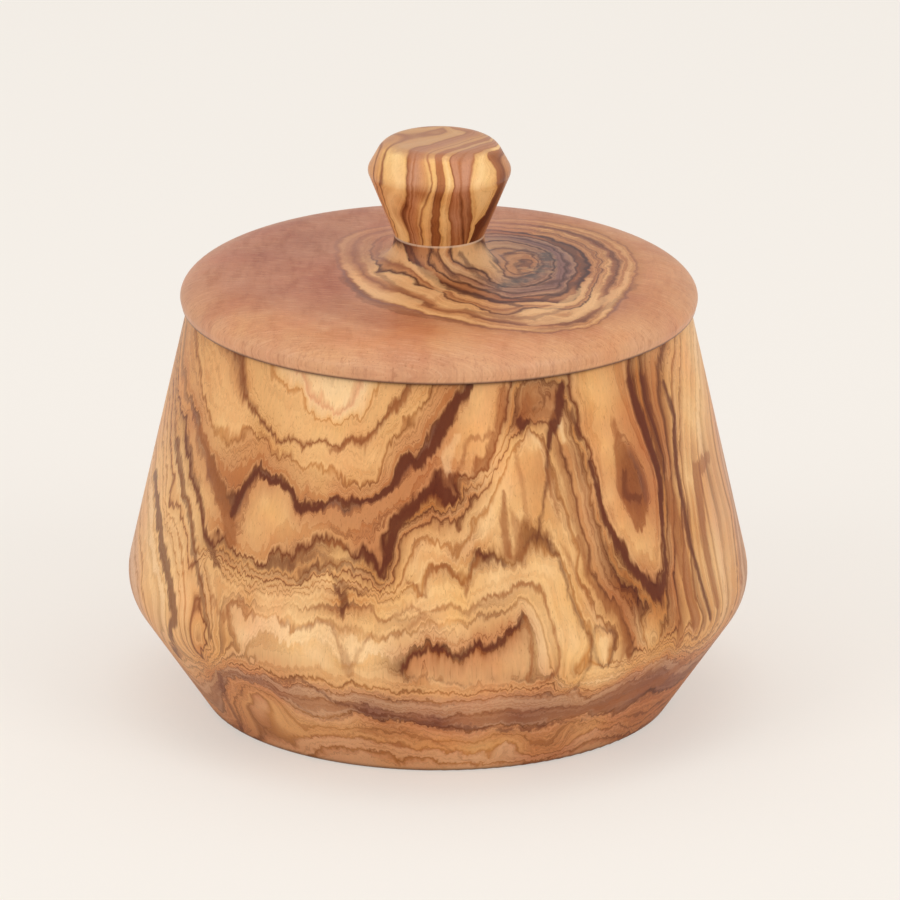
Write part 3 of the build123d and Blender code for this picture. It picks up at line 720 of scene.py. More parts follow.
def jarMaterial():
    material, shader, place = woodMaterial("olive wood of the jar")
    (coarseScale, coarseReach), (fineScale, fineReach) = jar["coarseFray"], jar["fineFray"]
    swayScale, swayReach = jar["sway"]
    coarse = shader.noise(shader.scaled(place, coarseScale), 3.0, 0.55)
    fine = shader.noise(shader.scaled(place, fineScale), 2.0, 0.5)
    lift = (coarse - 0.5) * coarseReach + (fine - 0.5) * fineReach
    sway = (shader.noise(shader.scaled(place, swayScale), 3.0, 0.6) - 0.5) * swayReach
    moved = shader.vector("ADD", place, shader.add("ShaderNodeCombineXYZ", None, sway, 0.0, lift))

    rings = linePoints(jar["rings"], onJar) + spotPoints(jar["ringsBehind"], roundJar)
    weights = spotPoints(jar["weights"], onJar) + spotPoints(jar["weightsBehind"], roundJar)
    colour, _ = figure(shader, moved, jar, rings, weights)
    colour = stroked(shader, moved, colour, jar, onJar)

    # Painted shade: a painted contact shadow darkens the edge of the foot, and painted shade darkens the line
    # under the lid
    upright = shader.add("ShaderNodeSeparateXYZ", None, place, output="Z")
    footShadowCover, rimShadeCover = shader.cover(upright, jar["footLine"]), shader.cover(upright, jar["rimLine"])
    rimShadeCover = rimShadeCover * shader.spread(outwards(shader, place), *jar["rimOutside"])
    seam = linear(jar["colours"]["seam"])
    colour = shader.mix(rimShadeCover, shader.mix(footShadowCover, colour, seam), seam)

    fibres = shader.scaled(place, jar["fibres"])
    oiledWood(shader, place, colour, fibres, upright * jar["turningMarks"], jar["finish"])
    return material


lid = {
    "name": "lid",
    "shoulderRadius": 34.5,
    "shoulderHeight": 79.1,
    "slope": 0.038,
    "coveRound": 5.0,
    "coveRadius": 13.0,
    "coveHeight": 84.93,
    "colours": {
        "rim": (232, 184, 146),
        # the colour of the painted shade where the lid meets the jar
        "seam": (58, 30, 20),
        "glue": (232, 200, 170),
        "grey": (172, 126, 98),
        "yellow": (233, 180, 124),
        "gold": (219, 162, 106),
        "tan": (200, 138, 88),
        "brown": (160, 98, 60),
        "umber": (128, 74, 46),
        "dark": (84, 42, 30),
        "red": (178, 112, 80),
        "rose": (190, 126, 96),
        "peach": (214, 152, 104),
        "violet": (140, 98, 88),
        "stain": (66, 62, 62),
    },
    "bands": 4.0,
    "calm": (6.3, 6.8, 0.16),
    "driftScale": (0.15, 0.15, 0.1),
    "bandTint": (0.72, 0.56, 0.44, 1),
    "edgeTint": (0.5, 0.34, 0.24, 1),
    # Ring number, colour on the gold side, colour on the grey side
    "stops": [
        (0.0, "tan", "tan"), (0.25, "umber", "umber"), (0.36, "gold", "tan"), (0.62, "tan", "tan"),
        (0.72, "umber", "umber"), (0.8, "tan", "tan"), (0.98, "tan", "grey"), (1.06, "dark", "umber"),
        (1.18, "yellow", "grey"), (1.6, "yellow", "grey"), (1.85, "gold", "grey"), (1.98, "dark", "dark"),
        (2.12, "tan", "grey"), (2.3, "yellow", "violet"), (2.62, "gold", "violet"), (2.78, "umber", "dark"),
        (2.9, "tan", "violet"), (3.16, "tan", "grey"), (3.3, "dark", "dark"), (3.42, "tan", "brown"),
        (3.7, "brown", "brown"), (3.9, "umber", "dark"), (4.02, "dark", "dark"), (4.14, "gold", "brown"),
        (4.3, "yellow", "tan"), (4.6, "gold", "tan"), (4.72, "brown", "brown"), (4.88, "tan", "tan"),
        (5.0, "dark", "umber"), (5.1, "yellow", "tan"), (5.45, "yellow", "gold"), (5.6, "tan", "brown"),
        (5.86, "brown", "umber"), (6.0, "tan", "tan"), (6.2, "yellow", "tan"), (6.42, "yellow", "gold"),
        (6.52, "brown", "tan"), (6.6, "violet", "brown"), (6.75, "rose", "tan"), (7.2, "red", "peach"),
        (8.0, "red", "peach"), (9.0, "rose", "peach"), (10.0, "peach", "peach"),
    ],
    # 0 on the gold side, 1 on the grey side and the front rim: (x, y, weight)
    "weights": [
        (7, 3, 0), (2, -2, 0.1), (-7, 4, 0), (-12, -11, 0), (-5, -13, 0.05), (-2, 2, 0.4), (4, -10, 0.5),
        (9, -14, 0.6), (8, -2, 0), (16, -6, 1), (20, 0, 1), (17, 6, 0.9), (21, -10, 0.9), (15, -14, 0.8),
        (14, -20, 0.7), (19, -22, 0), (15, -24, 0.3), (22, -26, 1), (13, -28, 0.9), (18, -30, 0),
        (24, -21, 0.2), (27, -22, 0.1), (27, -10, 0.6), (29, -16, 0.2), (31, -8, 0.8), (28, 4, 0.9),
        (24, 12, 0.9), (17, 18, 1), (4, -19, 0.6), (1, -24, 0.2), (5, -27, 0.5), (-1, -21, 0.6),
        (-9, 12, 0.6), (-14, 6, 0.5), (-22, 0, 0.1), (-28, 8, 0.1), (-20, -18, 0.3), (-10, -30, 0.5),
        (0, -38, 0.9), (14, -41, 1), (28, -33, 1), (38, -18, 1), (41, 2, 1), (34, 20, 0.8), (-34, -14, 0.3),
        (-38, 10, 0.2), (-24, 30, 0.2), (0, 40, 0.4), (20, 36, 0.6), (-24, -34, 0.8), (-40, -18, 0.6),
    ],
    # Ring lines drawn on the top of the lid: ring number, then (x, y) along the line
    "rings": [
        (0.0, [(15.5, -1.5), (15.6, 2.4)]),
        (0.5, [(12.8, -3.4), (13.6, 1), (14.4, 4.6), (16, 6)]),
        (1.0, [(10.4, 9), (11.6, -5.2), (12, -7)]),
        (1.5, [(11.2, -7.6), (11.4, -9.8), (13.2, -10.6), (15, -9.4), (17.2, -6.6), (18.6, -2.6), (19, 2),
            (18, 6.6), (15.4, 10), (12.4, 11.6)]),
        (2.0, [(9, -9.8), (11.2, -12), (13, -12.4), (15.6, -11.6), (18, -9.6), (19.6, -6), (20.4, -1),
            (20.2, 4), (18.6, 9), (15.4, 12.6), (11, 14.6)]),
        (2.5, [(10.4, -13.2), (12.8, -14.4), (15.2, -13.6), (18, -12.4), (20, -11.2), (21, -8.4),
            (21.6, -4), (21.8, 1), (21.2, 6), (19.4, 10.6), (16, 14), (11, 16)]),
        (3.0, [(7.6, -12), (9.6, -14), (11.4, -15.6), (12.6, -17), (14.6, -16.6), (16.4, -15), (17.6, -14),
            (20.2, -13.4), (21.8, -12), (22, -9), (22.4, -5.4), (23, 0), (22.6, 5), (20.8, 10.4),
            (17, 14.8), (11, 17.4)]),
        (3.5, [(5.4, -13), (6.8, -14.8), (9.4, -17), (10.8, -18.8), (13.2, -18.6), (16, -17.4), (18, -17.2),
            (20, -17.4), (22, -16.4), (23.2, -14), (23, -11), (23.4, -7.6), (24.6, -4), (25, 1), (24.4, 6),
            (22.4, 11), (19, 15.4), (14, 18.4), (9.4, 19.4)]),
        (4.0, [(-3, 14.6), (1.2, -11.8), (2.4, -13.6), (4, -15.4), (6, -17), (7.8, -18.4), (8.8, -20),
            (10.6, -20.6), (13, -20.2), (16, -19.4), (18.4, -19.4), (20.4, -20), (22.4, -19.2), (24, -17.2),
            (24.8, -14), (24.8, -11), (25.4, -7), (26.4, -3), (26.6, 2), (25.8, 7), (23.8, 12),
            (20.4, 16.4), (15.6, 20), (10, 21.4)]),
        (4.5, [(-8.4, 16), (-9.4, 12), (-10, 8), (-1, -11.8), (0.6, -14.2), (2.8, -16.8), (5, -18.6),
            (7, -20.4), (9, -22.2), (12, -22.4), (15, -20.8), (18.6, -20.6), (22, -20.8), (24.6, -18.6),
            (25.6, -14), (25.8, -10), (26.8, -5), (27.4, 0), (27, 6), (25, 12)]),
        (5.0, [(-11.8, 10), (-12, 3), (-11, -5), (-4.4, -11.6), (-2.8, -12.6), (-0.6, -14.6), (0.8, -16),
            (1.4, -18.6), (3.4, -20.4), (5.8, -21.4), (7.4, -23.6), (9, -26), (11.6, -26.6), (13.6, -25.2),
            (14.6, -23.4), (17, -22.4), (20.4, -22.8), (23.2, -23), (25, -20.6), (26.2, -16), (26.8, -11),
            (27.8, -5), (28.4, 0), (28, 6), (26, 12), (22.6, 17), (17.6, 20.8), (12, 23)]),
        (5.5, [(-13.8, 12), (-13.8, 6), (-13, 1), (-12.4, -3.4), (-10.8, -7.4), (-8.4, -11), (-5.4, -14),
            (-2.8, -16.8), (-0.8, -20), (0.2, -23), (2.4, -23.6), (4.6, -23.4), (6.8, -25.8), (8.4, -28),
            (11, -28.4), (13, -29.6), (15.4, -30.4), (17, -28.8), (19.4, -27.4), (21.4, -28.6), (23.6, -28),
            (25.2, -24), (26.8, -20), (27.6, -15), (28.4, -11), (29.4, -5), (30, 1), (29.4, 7), (27.4, 13),
            (24, 18.4), (19, 22.4)]),
        (6.0, [(-15.8, 12), (-15.8, 6), (-15, 0), (-14, -5), (-12.4, -9), (-10, -13), (-7, -16.6),
            (-4.4, -20), (-2, -23.6), (1.6, -26.4), (4.6, -27), (7.6, -29.6), (10.4, -31.2), (13.6, -32),
            (16.2, -32.8), (19.6, -32.4), (23, -31), (26.2, -28.6), (28, -24), (29, -19), (29.8, -14.4),
            (30.8, -10), (31.8, -4), (32.4, 1), (31.8, 7), (29.8, 14), (26, 19.6), (20.6, 24)]),
        (6.6, [(-17.4, 16), (-17.8, 8), (-17.8, 2), (-16.8, -4), (-15.8, -9), (-14.6, -14), (-12.6, -18),
            (-10.2, -20.6), (-7, -22.6), (-4, -25), (-1, -27.4), (2, -29.4), (5.6, -31.4), (9, -33.6),
            (13, -34.4), (16.6, -35), (20.6, -33.6), (24.6, -31.8), (28.2, -28), (30.8, -22), (32.6, -16),
            (33.8, -10), (34.6, -4), (35, 2), (34.2, 9), (31.6, 16), (27, 22.6)]),
        (8.0, [(-26, 14), (-27, 0), (-24, -14), (-18, -25), (-9, -32), (2, -37), (14, -40.5), (26, -37),
            (34, -28), (38.6, -16), (40.8, 0), (39, 14), (32, 27), (20, 36), (6, 33), (-8, 30), (-18, 26)]),
        (9.4, [(-44, 6), (-42, -14), (-33, -30), (-18, -41), (0, -45), (42, -16), (44.6, 2), (41, 18),
            (30, 34), (12, 44), (-10, 44), (-30, 33), (-41, 20)]),
    ],
    # The same rings on the cove below the knob: ring number, then (x, height) along the line
    "neck": [
        (1.1, [(6.6, 85.4), (7.4, 84.9), (8, 84.2), (8.4, 83.2), (9, 82.2), (9.8, 81.2), (10.4, 80.6)]),
        (1.5, [(3.7, 85.6), (3.5, 84.8), (3.7, 84), (4.4, 83.2), (5.2, 82.6), (6.4, 82), (7.6, 81.5),
            (8.8, 81), (9.8, 80.5)]),
        (2.0, [(1.9, 85.6), (1.8, 84.9), (1.9, 84.2), (2.3, 83.5), (2.9, 82.9), (3.7, 82.3), (4.7, 81.8),
            (5.8, 81.4), (7, 81), (8, 80.6)]),
        (2.8, [(-0.2, 85.6), (-0.4, 84.9), (-0.1, 84.2), (0.1, 83.6), (0.4, 83), (0.8, 82.5), (1.2, 82),
            (1.8, 81.5), (2.6, 81.2), (3.8, 80.9), (5, 80.5)]),
        (3.3, [(-1.3, 85.6), (-1.4, 84.8), (-1.7, 84), (-1.8, 83.3), (-1.5, 82.6), (-1, 82), (-0.4, 81.5),
            (0.4, 81.1), (1.4, 80.7), (2.6, 80.3)]),
        (4.0, [(-5.2, 85.6), (-5.8, 84.7), (-5.7, 84), (-5.5, 83.3), (-5.3, 82.7), (-4.6, 82.3),
            (-3.6, 82.1), (-2.8, 81.9), (-2.2, 81.5), (-1.6, 81), (-0.8, 80.6), (0.2, 80.3)]),
        (4.25, [(-7.4, 83.6), (-6.6, 83.2), (-7.6, 82.6), (-3.6, 81.5), (-2.8, 81.1), (-2, 80.7),
            (-1, 80.3)]),
        (4.6, [(-9, 81.6), (-8, 81.9), (-7, 82.1), (-6, 82.2)]),
        (4.8, [(-8.5, 81), (-7, 81.1), (-5.6, 81.3), (-4.6, 81.1), (-3.8, 80.8), (-3.2, 80.5)]),
        (5.0, [(-9, 80.5), (-7.5, 80.6), (-6, 80.7), (-5, 80.7), (-4.2, 80.5), (-3.4, 80.2)]),
    ],
    "ease": 0.05,
    "weightEase": 0.3,
    # Strokes drawn over the rings: colour, strength, then (x, y, half width) along the stroke
    "strokes": [
        ("dark", 0.7, [(-4.9, -6.3, 0.35), (-3.3, -8.4, 0.6), (1.7, -13.8, 0.8), (7.6, -18.3, 0.8),
            (14.2, -22.2, 0.6)]),
        ("dark", 0.55, [(-1.2, -7.8, 0.35), (1.7, -9.3, 0.6), (7.6, -14, 0.7), (11.7, -15, 0.5)]),
        ("dark", 0.6, [(3.6, -7.2, 0.4), (5.6, -7.4, 0.7), (8.5, -9.6, 0.7), (10.6, -13.4, 0.5)]),
        ("dark", 0.65, [(17.9, 17.9, 0.5), (22.6, 11.8, 0.7), (25.4, 2.5, 0.6), (25.3, -5.6, 0.6),
            (22, -13.5, 0.8), (17.9, -18.8, 0.8), (11.6, -18.1, 0.6)]),
        ("dark", 0.5, [(11.7, -6.6, 0.5), (15, -11.3, 0.6), (19.4, -9.9, 0.6), (23.6, -5.4, 0.5)]),
        ("dark", 0.6, [(11.8, 6.4, 0.4), (15.2, 9.4, 0.5), (16.8, 5.5, 0.4)]),
        ("dark", 0.5, [(14.3, -4.5, 0.4), (13.5, 0.6, 0.4), (15.5, 2.8, 0.4)]),
        ("dark", 0.4, [(9, -3.2, 0.4), (10.6, -4.9, 0.5), (12.1, -2.1, 0.3)]),
        ("umber", 0.5, [(-17.1, -7.2, 0.8), (-12.2, -20.2, 1.2), (-5.6, -26, 1.2), (1.7, -29.6, 0.9),
            (7.5, -32.7, 0.6)]),
        ("umber", 0.45, [(-11.2, -4.6, 0.5), (-5.6, -16.8, 0.8), (-1.9, -22.6, 0.9)]),
        ("umber", 0.4, [(14.8, -34.7, 0.5), (22.1, -31.9, 0.8), (29.6, -21.1, 0.7), (34.6, -8.9, 0.5)]),
        ("umber", 0.45, [(4.7, -24.3, 0.5), (10.5, -27.9, 0.8), (16.3, -28.1, 0.8), (21.5, -23.5, 0.6)]),
        ("yellow", 0.6, [(-8.6, 0.3, 0.7), (-6, -5.9, 0.8)]),
        ("yellow", 0.5, [(-5.6, -6.8, 0.5), (-1.9, -9.6, 0.8), (0.3, -13.8, 1), (-1.4, -17.6, 1)]),
        ("yellow", 0.55, [(-8, -16.8, 1.2), (-4.1, -20.5, 1.2)]),
        ("yellow", 0.55, [(14.9, -25.6, 0.9), (20.8, -21.8, 0.9), (24.9, -13.9, 0.7), (26.5, -6.2, 0.5)]),
        ("yellow", 0.5, [(16.3, -31.3, 0.9), (22.2, -28.8, 0.9), (28.2, -19, 0.9), (32.3, -10.2, 0.7),
            (33.5, -1.9, 0.4)]),
        ("yellow", 0.4, [(14.3, -1.7, 0.7), (19.5, -3.5, 0.7)]),
    ],
    "strokeEdge": 0.3,
    "feather": 0.9,
    "waveScale": (0.35, 0.35, 0.25),
    "wave": (2.2, 2.2, 1.0),
    # The figure fades to plain wood at the left and behind the knob
    "fade": {"from": 4.0, "to": 14.0, "cover": 0.62, "back": 0.8, "across": 0.7, "ragged": 14.0},
    "blotchScale": (0.6, 0.6, 0.3),
    "streakScale": (0.45, 0.12, 0.2),
    "plain": (6.4, 7.0),  # from this ring to this one the wood turns plain
    "plainStreaks": (0.42, 0.62),
    "cloudScale": (0.09, 0.09, 0.05),
    "clouds": {"from": 0.42, "to": 0.66, "cover": 0.75, "tint": (0.8, 0.62, 0.56, 1)},
    "streaks": {"from": 0.5, "to": 0.72, "cover": 0.6, "tint": (0.82, 0.68, 0.58, 1)},
    "sandingAlong": (0.22, -0.06, 0.0),
    "sandingAcross": (1.1, 4.2, 0.0),
    "sandingDark": {"from": 0.5, "to": 0.68, "cover": 0.5, "tint": (0.8, 0.66, 0.58, 1)},
    "sandingLight": {"from": 0.46, "to": 0.34, "cover": 0.35},
    # Blue-black stain beside the heart of the rings: (x, y) along it, and the grey wood round it
    "stain": [(12, -11), (13, -9.6), (14.4, -8), (16, -5.8), (17.6, -3), (18.8, 0), (19.2, 3.4), (18.6, 6)],
    "stainWidth": (0.5, 2.4),
    "stainCover": 0.7,
    "stainRagged": 5.0,
    "greyMiddle": (20.5, -4, 79.6),
    "greyWidth": (6.0, 10.0),
    "greyCover": 0.4,
    "greyRagged": 6.0,
    "greyTint": (0.84, 0.74, 0.74, 1),
    "paleRim": (78.6, 75.4),
    "paleRimCover": 0.4,
    "tickScale": (1.5, 1.5, 0.1),
    "ticks": {"from": 0.54, "to": 0.7, "cover": 0.4, "tint": (0.62, 0.44, 0.36, 1)},
    # Painted shade along the lid's lower edge, where it sits on the jar
    "seamLine": {"from": 73.25, "to": 72.85, "cover": 0.8},
    # a pale line round the top of the cove, under the knob
    "glueLine": {"from": 85.35, "to": 85.55, "cover": 0.65},
    "fibres": (2.2, 2.2, 0.2),
    "turningMarks": 3.0,
    "finish": {
        "pink": 0.5, "gold": 0.4, "streak": 0.05, "pore": 0.5,
        "roughness": 0.4, "shine": 0.3, "bump": 0.2,
    },
}


def onLid(x, y):
    return (x, y, lid["shoulderHeight"] + lid["slope"] * max(0, lid["shoulderRadius"] - sqrt(x * x + y * y)))


def onNeck(x, height):
    # On the front of the cove that rises to the knob
    below = max(lid["coveHeight"] - height, 0)
    radius = lid["coveRadius"] - sqrt(lid["coveRound"] ** 2 - below ** 2)
    return (x, -sqrt(max(radius ** 2 - x ** 2, 0)), height)


def onTop(x, y):
    # On the top of the lid, or on the cove where it is near the middle
    inward = max(lid["coveRadius"] - sqrt(x * x + y * y), 0)
    if inward == 0:
        return onLid(x, y)
    return (x, y, lid["coveHeight"] - sqrt(max(lid["coveRound"] ** 2 - inward ** 2, 0)))


def waved(shader, place, piece):
    # Every place moved a little, so that the drawn lines waver
    wave = shader.noise(shader.scaled(place, piece["waveScale"]), 4.0, 0.6, output="Color")
    wave = shader.scaled(shader.vector("SUBTRACT", wave, (0.5, 0.5, 0.5)), piece["wave"])
    return shader.vector("ADD", place, wave)


def lidMaterial():
    material, shader, place = woodMaterial("olive wood of the lid")
    colours = {name: linear(colour) for name, colour in lid["colours"].items()}
    moved = waved(shader, place, lid)
    rings = linePoints(lid["rings"], onLid) + linePoints(lid["neck"], onNeck)
    colour, ring = figure(shader, moved, lid, rings, spotPoints(lid["weights"], onLid))
    colour = stroked(shader, moved, colour, lid, onTop)

    across = shader.add("ShaderNodeSeparateXYZ", None, moved, output="X")
    back = across.sibling("Y")
    blotch = shader.noise(shader.scaled(place, lid["blotchScale"]), 3.0, 0.6) - 0.5
    streak = shader.noise(shader.scaled(place, lid["streakScale"]), 4.0, 0.65)
    plain = shader.mix(shader.spread(streak, *lid["plainStreaks"]), colours["rose"], colours["red"])
    fade = lid["fade"]
    away = back * fade["back"] - across * fade["across"] + blotch * fade["ragged"]
    colour = shader.mix(shader.cover(away, fade), colour, plain)

    # Warm blotches and faint turned streaks all over the plain wood
    calm = shader.spread(ring, *lid["plain"])
    clouds = shader.noise(shader.scaled(place, lid["cloudScale"]), 4.0, 0.6)
    colour = shader.tint(shader.cover(clouds, lid["clouds"]) * calm, colour, lid["clouds"]["tint"])
    colour = shader.tint(shader.cover(streak, lid["streaks"]) * calm, colour, lid["streaks"]["tint"])

    # Fine sanding lines that run a little off the fibres, darker and lighter than the wood
    along = shader.vector("DOT_PRODUCT", place, lid["sandingAlong"], output="Value")
    crossing = shader.vector("DOT_PRODUCT", place, lid["sandingAcross"], output="Value")
    lines = shader.add("ShaderNodeCombineXYZ", None, along, crossing, 0.0)
    lines = shader.noise(lines, 3.0, 0.7)
    colour = shader.tint(shader.cover(lines, lid["sandingDark"]) * calm, colour, lid["sandingDark"]["tint"])
    colour = shader.mix(shader.cover(lines, lid["sandingLight"]) * calm, colour, colours["rim"])

    near = None
    for x, y in lid["stain"]:
        reach = shader.vector("DISTANCE", moved, onLid(x, y), output="Value")
        near = reach if near is None else near.maths("MINIMUM", reach)
    grey = shader.vector("DISTANCE", moved, lid["greyMiddle"], output="Value") + blotch * lid["greyRagged"]
    grey = shader.spread(grey, *lid["greyWidth"], lid["greyCover"], 0.0)
    colour = shader.tint(grey, colour, lid["greyTint"])
    stained = shader.spread(near + blotch * lid["stainRagged"], *lid["stainWidth"], lid["stainCover"], 0.0)
    colour = shader.mix(stained, colour, colours["stain"])

    # Paler rim with short upright ticks, painted shade along the line where it meets the jar, and a pale line
    # under the knob
    upright = shader.add("ShaderNodeSeparateXYZ", None, place, output="Z")
    rim = shader.spread(upright, *lid["paleRim"])
    colour = shader.mix(rim * lid["paleRimCover"], colour, colours["rim"])
    ticks = shader.noise(shader.scaled(place, lid["tickScale"]), 2.0, 0.6)
    colour = shader.tint(shader.cover(ticks, lid["ticks"]) * rim, colour, lid["ticks"]["tint"])
    # Painted shade along the lid's lower edge where it meets the jar
    colour = shader.mix(shader.cover(upright, lid["seamLine"]), colour, colours["seam"])
    colour = shader.mix(shader.cover(upright, lid["glueLine"]), colour, colours["glue"])

    fibres = shader.scaled(place, lid["fibres"])
    oiledWood(shader, place, colour, fibres, outwards(shader, place) * lid["turningMarks"], lid["finish"])
    return material


knob = {
    "name": "knob",
    "foot": 85.8,
    "neckRadius": 8.0,
    "beltRadius": 12.8,
    "beltHeight": 11.8,
    "topRadius": 9.9,
    "height": 17.1,
    "colours": {
        "endGrain": (184, 132, 98),
        "pale": (254, 212, 148),
        "yellow": (246, 196, 126),
        "gold": (236, 178, 108),
        "tan": (220, 158, 102),
        "rose": (206, 148, 112),
        "brown": (186, 118, 70),
        "umber": (152, 86, 42),
        "dark": (108, 50, 20),
    },
    "bands": 3.0,
    "calm": (20, 21, 1.0),
    "driftScale": (0.25, 0.25, 0.1),
    "bandTint": (0.76, 0.6, 0.46, 1),
    "edgeTint": (0.6, 0.44, 0.3, 1),
    # Stripe number, colour where the figure is light, colour where it is heavy
    "stops": [
        (0.0, "tan", "tan"), (0.85, "tan", "tan"), (1.0, "umber", "dark"), (1.2, "tan", "tan"),
        (1.8, "gold", "tan"), (2.0, "umber", "dark"), (2.12, "yellow", "tan"), (2.5, "pale", "tan"),
        (2.85, "yellow", "brown"), (2.98, "umber", "dark"), (3.1, "brown", "dark"), (3.4, "rose", "brown"),
        (3.55, "brown", "umber"), (3.75, "rose", "brown"), (4.3, "tan", "brown"), (4.8, "yellow", "brown"),
        (5.0, "brown", "dark"), (5.2, "yellow", "gold"), (5.8, "yellow", "tan"), (6.0, "brown", "dark"),
        (6.3, "brown", "umber"), (6.8, "brown", "umber"), (7.0, "brown", "dark"), (7.12, "yellow", "gold"),
        (7.5, "pale", "gold"), (7.9, "yellow", "tan"), (8.02, "umber", "umber"), (8.2, "rose", "brown"),
        (8.7, "rose", "brown"), (9.0, "brown", "dark"), (9.25, "rose", "brown"), (9.8, "rose", "umber"),
        (10.0, "brown", "umber"), (10.15, "yellow", "gold"), (10.5, "pale", "gold"),
        (10.9, "yellow", "gold"), (11.0, "brown", "dark"), (11.3, "brown", "dark"), (12.2, "umber", "dark"),
        (12.6, "tan", "umber"), (13.2, "tan", "brown"), (15.0, "tan", "brown"),
    ],
    # How heavy the figure is: (x, height over the knob's foot, weight)
    "weights": [
        (-9, 14, 0), (-7.4, 11, 0), (-7.6, 7.6, 0.2), (-7, 5.8, 0.75), (-7, 3, 0.05), (-6.4, 1, 0),
        (-5.6, 7.8, 1), (-5.6, 4.4, 0.8), (-4, 15, 0.3), (-3, 13, 0.1), (-3.4, 11, 1), (-3.2, 8.4, 0),
        (-4.6, 3, 0.8), (-3.6, 1, 0.5), (-2.4, 5, 0.3), (0, 14, 0.2), (0, 10, 0.9), (-0.6, 5, 0.9),
        (1.4, 13, 0), (1.2, 6, 0.3), (2.9, 10.4, 0.6), (3.6, 14, 0.1), (3.8, 8.6, 0.8), (3, 5, 0.3),
        (4.8, 6, 0.8), (4.8, 2, 1), (7.4, 13, 0), (7.4, 8, 0.35), (7, 3.4, 1), (9.2, 6, 1), (10.6, 10, 0.8),
        (10.6, 14, 0.2), (8.4, 16, 0.3), (-10.6, 11, 0.7), (-9, 4, 0.2),
    ],
    # Stripes on the front, which the back repeats: stripe number, then (x, height over the knob's foot)
    "rings": [
        (1.0, [(-7.9, 1), (-8.6, 3.4), (-9.8, 6.4), (-10.9, 10), (-11.6, 12.2), (-11.1, 14.4),
            (-10.3, 16.2)]),
        (2.0, [(-7.3, 0.2), (-7.9, 2.2), (-8.8, 4.4), (-9.5, 6.8), (-10, 9), (-10.5, 10.8), (-10.2, 12.8),
            (-10, 14.6), (-9.4, 16.4)]),
        (3.0, [(-5.1, 0.2), (-5.3, 2), (-5.7, 3.4), (-6.4, 5), (-6.5, 6.2), (-6, 7.6), (-5.7, 9),
            (-5.5, 10.4), (-5.6, 12.2), (-5.4, 14.4), (-5.5, 16.8)]),
        (3.5, [(-4.2, 0.2), (-4.6, 2), (-5.1, 3.8), (-5.4, 5.4), (-5.3, 6.6), (-5, 7.8), (-5, 9.4),
            (-5, 11), (-5.1, 12.4), (-4.9, 14.4), (-4.4, 16.8)]),
        (5.0, [(-3, 0.2), (-3.2, 2.2), (-3.5, 4.2), (-3.3, 6), (-3, 7.6), (-2.4, 8.8), (-2, 10.2),
            (-1.5, 11.6), (-1.2, 12.8), (-1.4, 14.2), (-1.7, 15.4), (-2.2, 16.9)]),
        (6.0, [(-1.2, 0.2), (-1.1, 2.4), (-1.2, 4.4), (-1.1, 6.4), (-1, 8.4), (-0.9, 9.8), (-0.7, 11.4),
            (-0.3, 12.8), (-0.5, 14.4), (-0.7, 16.9)]),
        (7.0, [(-0.1, 0.2), (-0.2, 3.4), (-0.2, 5.6), (0, 7.6), (0.1, 9.4), (0.5, 10.8), (0.9, 12),
            (0.9, 13.4), (0.6, 15), (0.3, 17)]),
        (8.0, [(2, 0.2), (2.1, 3), (2.1, 4.8), (1.7, 5.8), (1.6, 7), (1.8, 8.6), (2.1, 10), (2.4, 11.4),
            (2.7, 12.3), (2.5, 13.4), (2.1, 15.2), (1.7, 16.9)]),
        (9.0, [(4.3, 0.2), (4.1, 3), (4, 5.4), (3.9, 7.6), (3.9, 9.4), (3.6, 10.8), (3.8, 12.4),
            (3.6, 14.6), (3.4, 16.6)]),
        (10.0, [(5.2, 1.4), (5.5, 3), (5.6, 4.8), (5.5, 6.6), (5.5, 8.4), (5.3, 10), (5.1, 11.8),
            (5.4, 13.4), (5.7, 14.8), (6, 16.2)]),
        (11.0, [(6.3, 3.6), (7.2, 4.6), (8.1, 5.2), (8.6, 6.6), (9.1, 7.8), (9.7, 9), (10.3, 10.4),
            (10.2, 12), (10.1, 13.6), (9.2, 15), (8.4, 16.2)]),
        (12.0, [(5.8, 0.2), (6.7, 1.8), (7.7, 3.2), (8.7, 5.2), (9.4, 6.8), (10, 8.2), (10.8, 9.8),
            (11.2, 11.6), (11.2, 13), (10.3, 14.6), (9.4, 15.8)]),
        (13.0, [(7.6, 0.6), (8.5, 2.6), (9.4, 4.8), (10.3, 6.8), (11.1, 8.8), (11.9, 10.8), (12.1, 12.2),
            (11.3, 14.2)]),
    ],
    # Stripes over the top of the knob: stripe number, then (x, y)
    "top": [
        (2.0, [(-9, -3.6), (-6, 0.4), (-2, 5), (1, 8.6)]),
        (3.0, [(-5.2, -7.4), (-1.5, -3), (3, 2), (6.6, 6.6)]),
        (5.0, [(-2, -8.4), (1.8, -3.8), (6, 1), (8.8, 4)]),
        (7.0, [(0.6, -8.8), (4.5, -4.5), (8.6, 0)]),
        (10.0, [(6, -7), (9, -3.6)]),
    ],
    "ease": 0.02,
    "weightEase": 0.2,
    "waveScale": (0.5, 0.5, 0.3),
    "wave": (0.5, 0.5, 0.6),
    "endScale": (0.25, 0.4, 0.2),
    # The end grain on top, from and to a depth below the top
    "endGrain": {"from": 1.1, "to": 0.2, "ragged": 1.6, "cover": 0.85, "colour": 0.7, "tint": 0.5},
    "endTint": (0.8, 0.66, 0.6, 1),
    "fibres": (2.6, 2.6, 0.2),
    "turningMarks": 4.0,
    "finish": {
        "pink": 0.4, "gold": 0.4, "streak": 0.06, "pore": 0.4,
        "roughness": 0.34, "shine": 0.3, "bump": 0.2,
    },
}


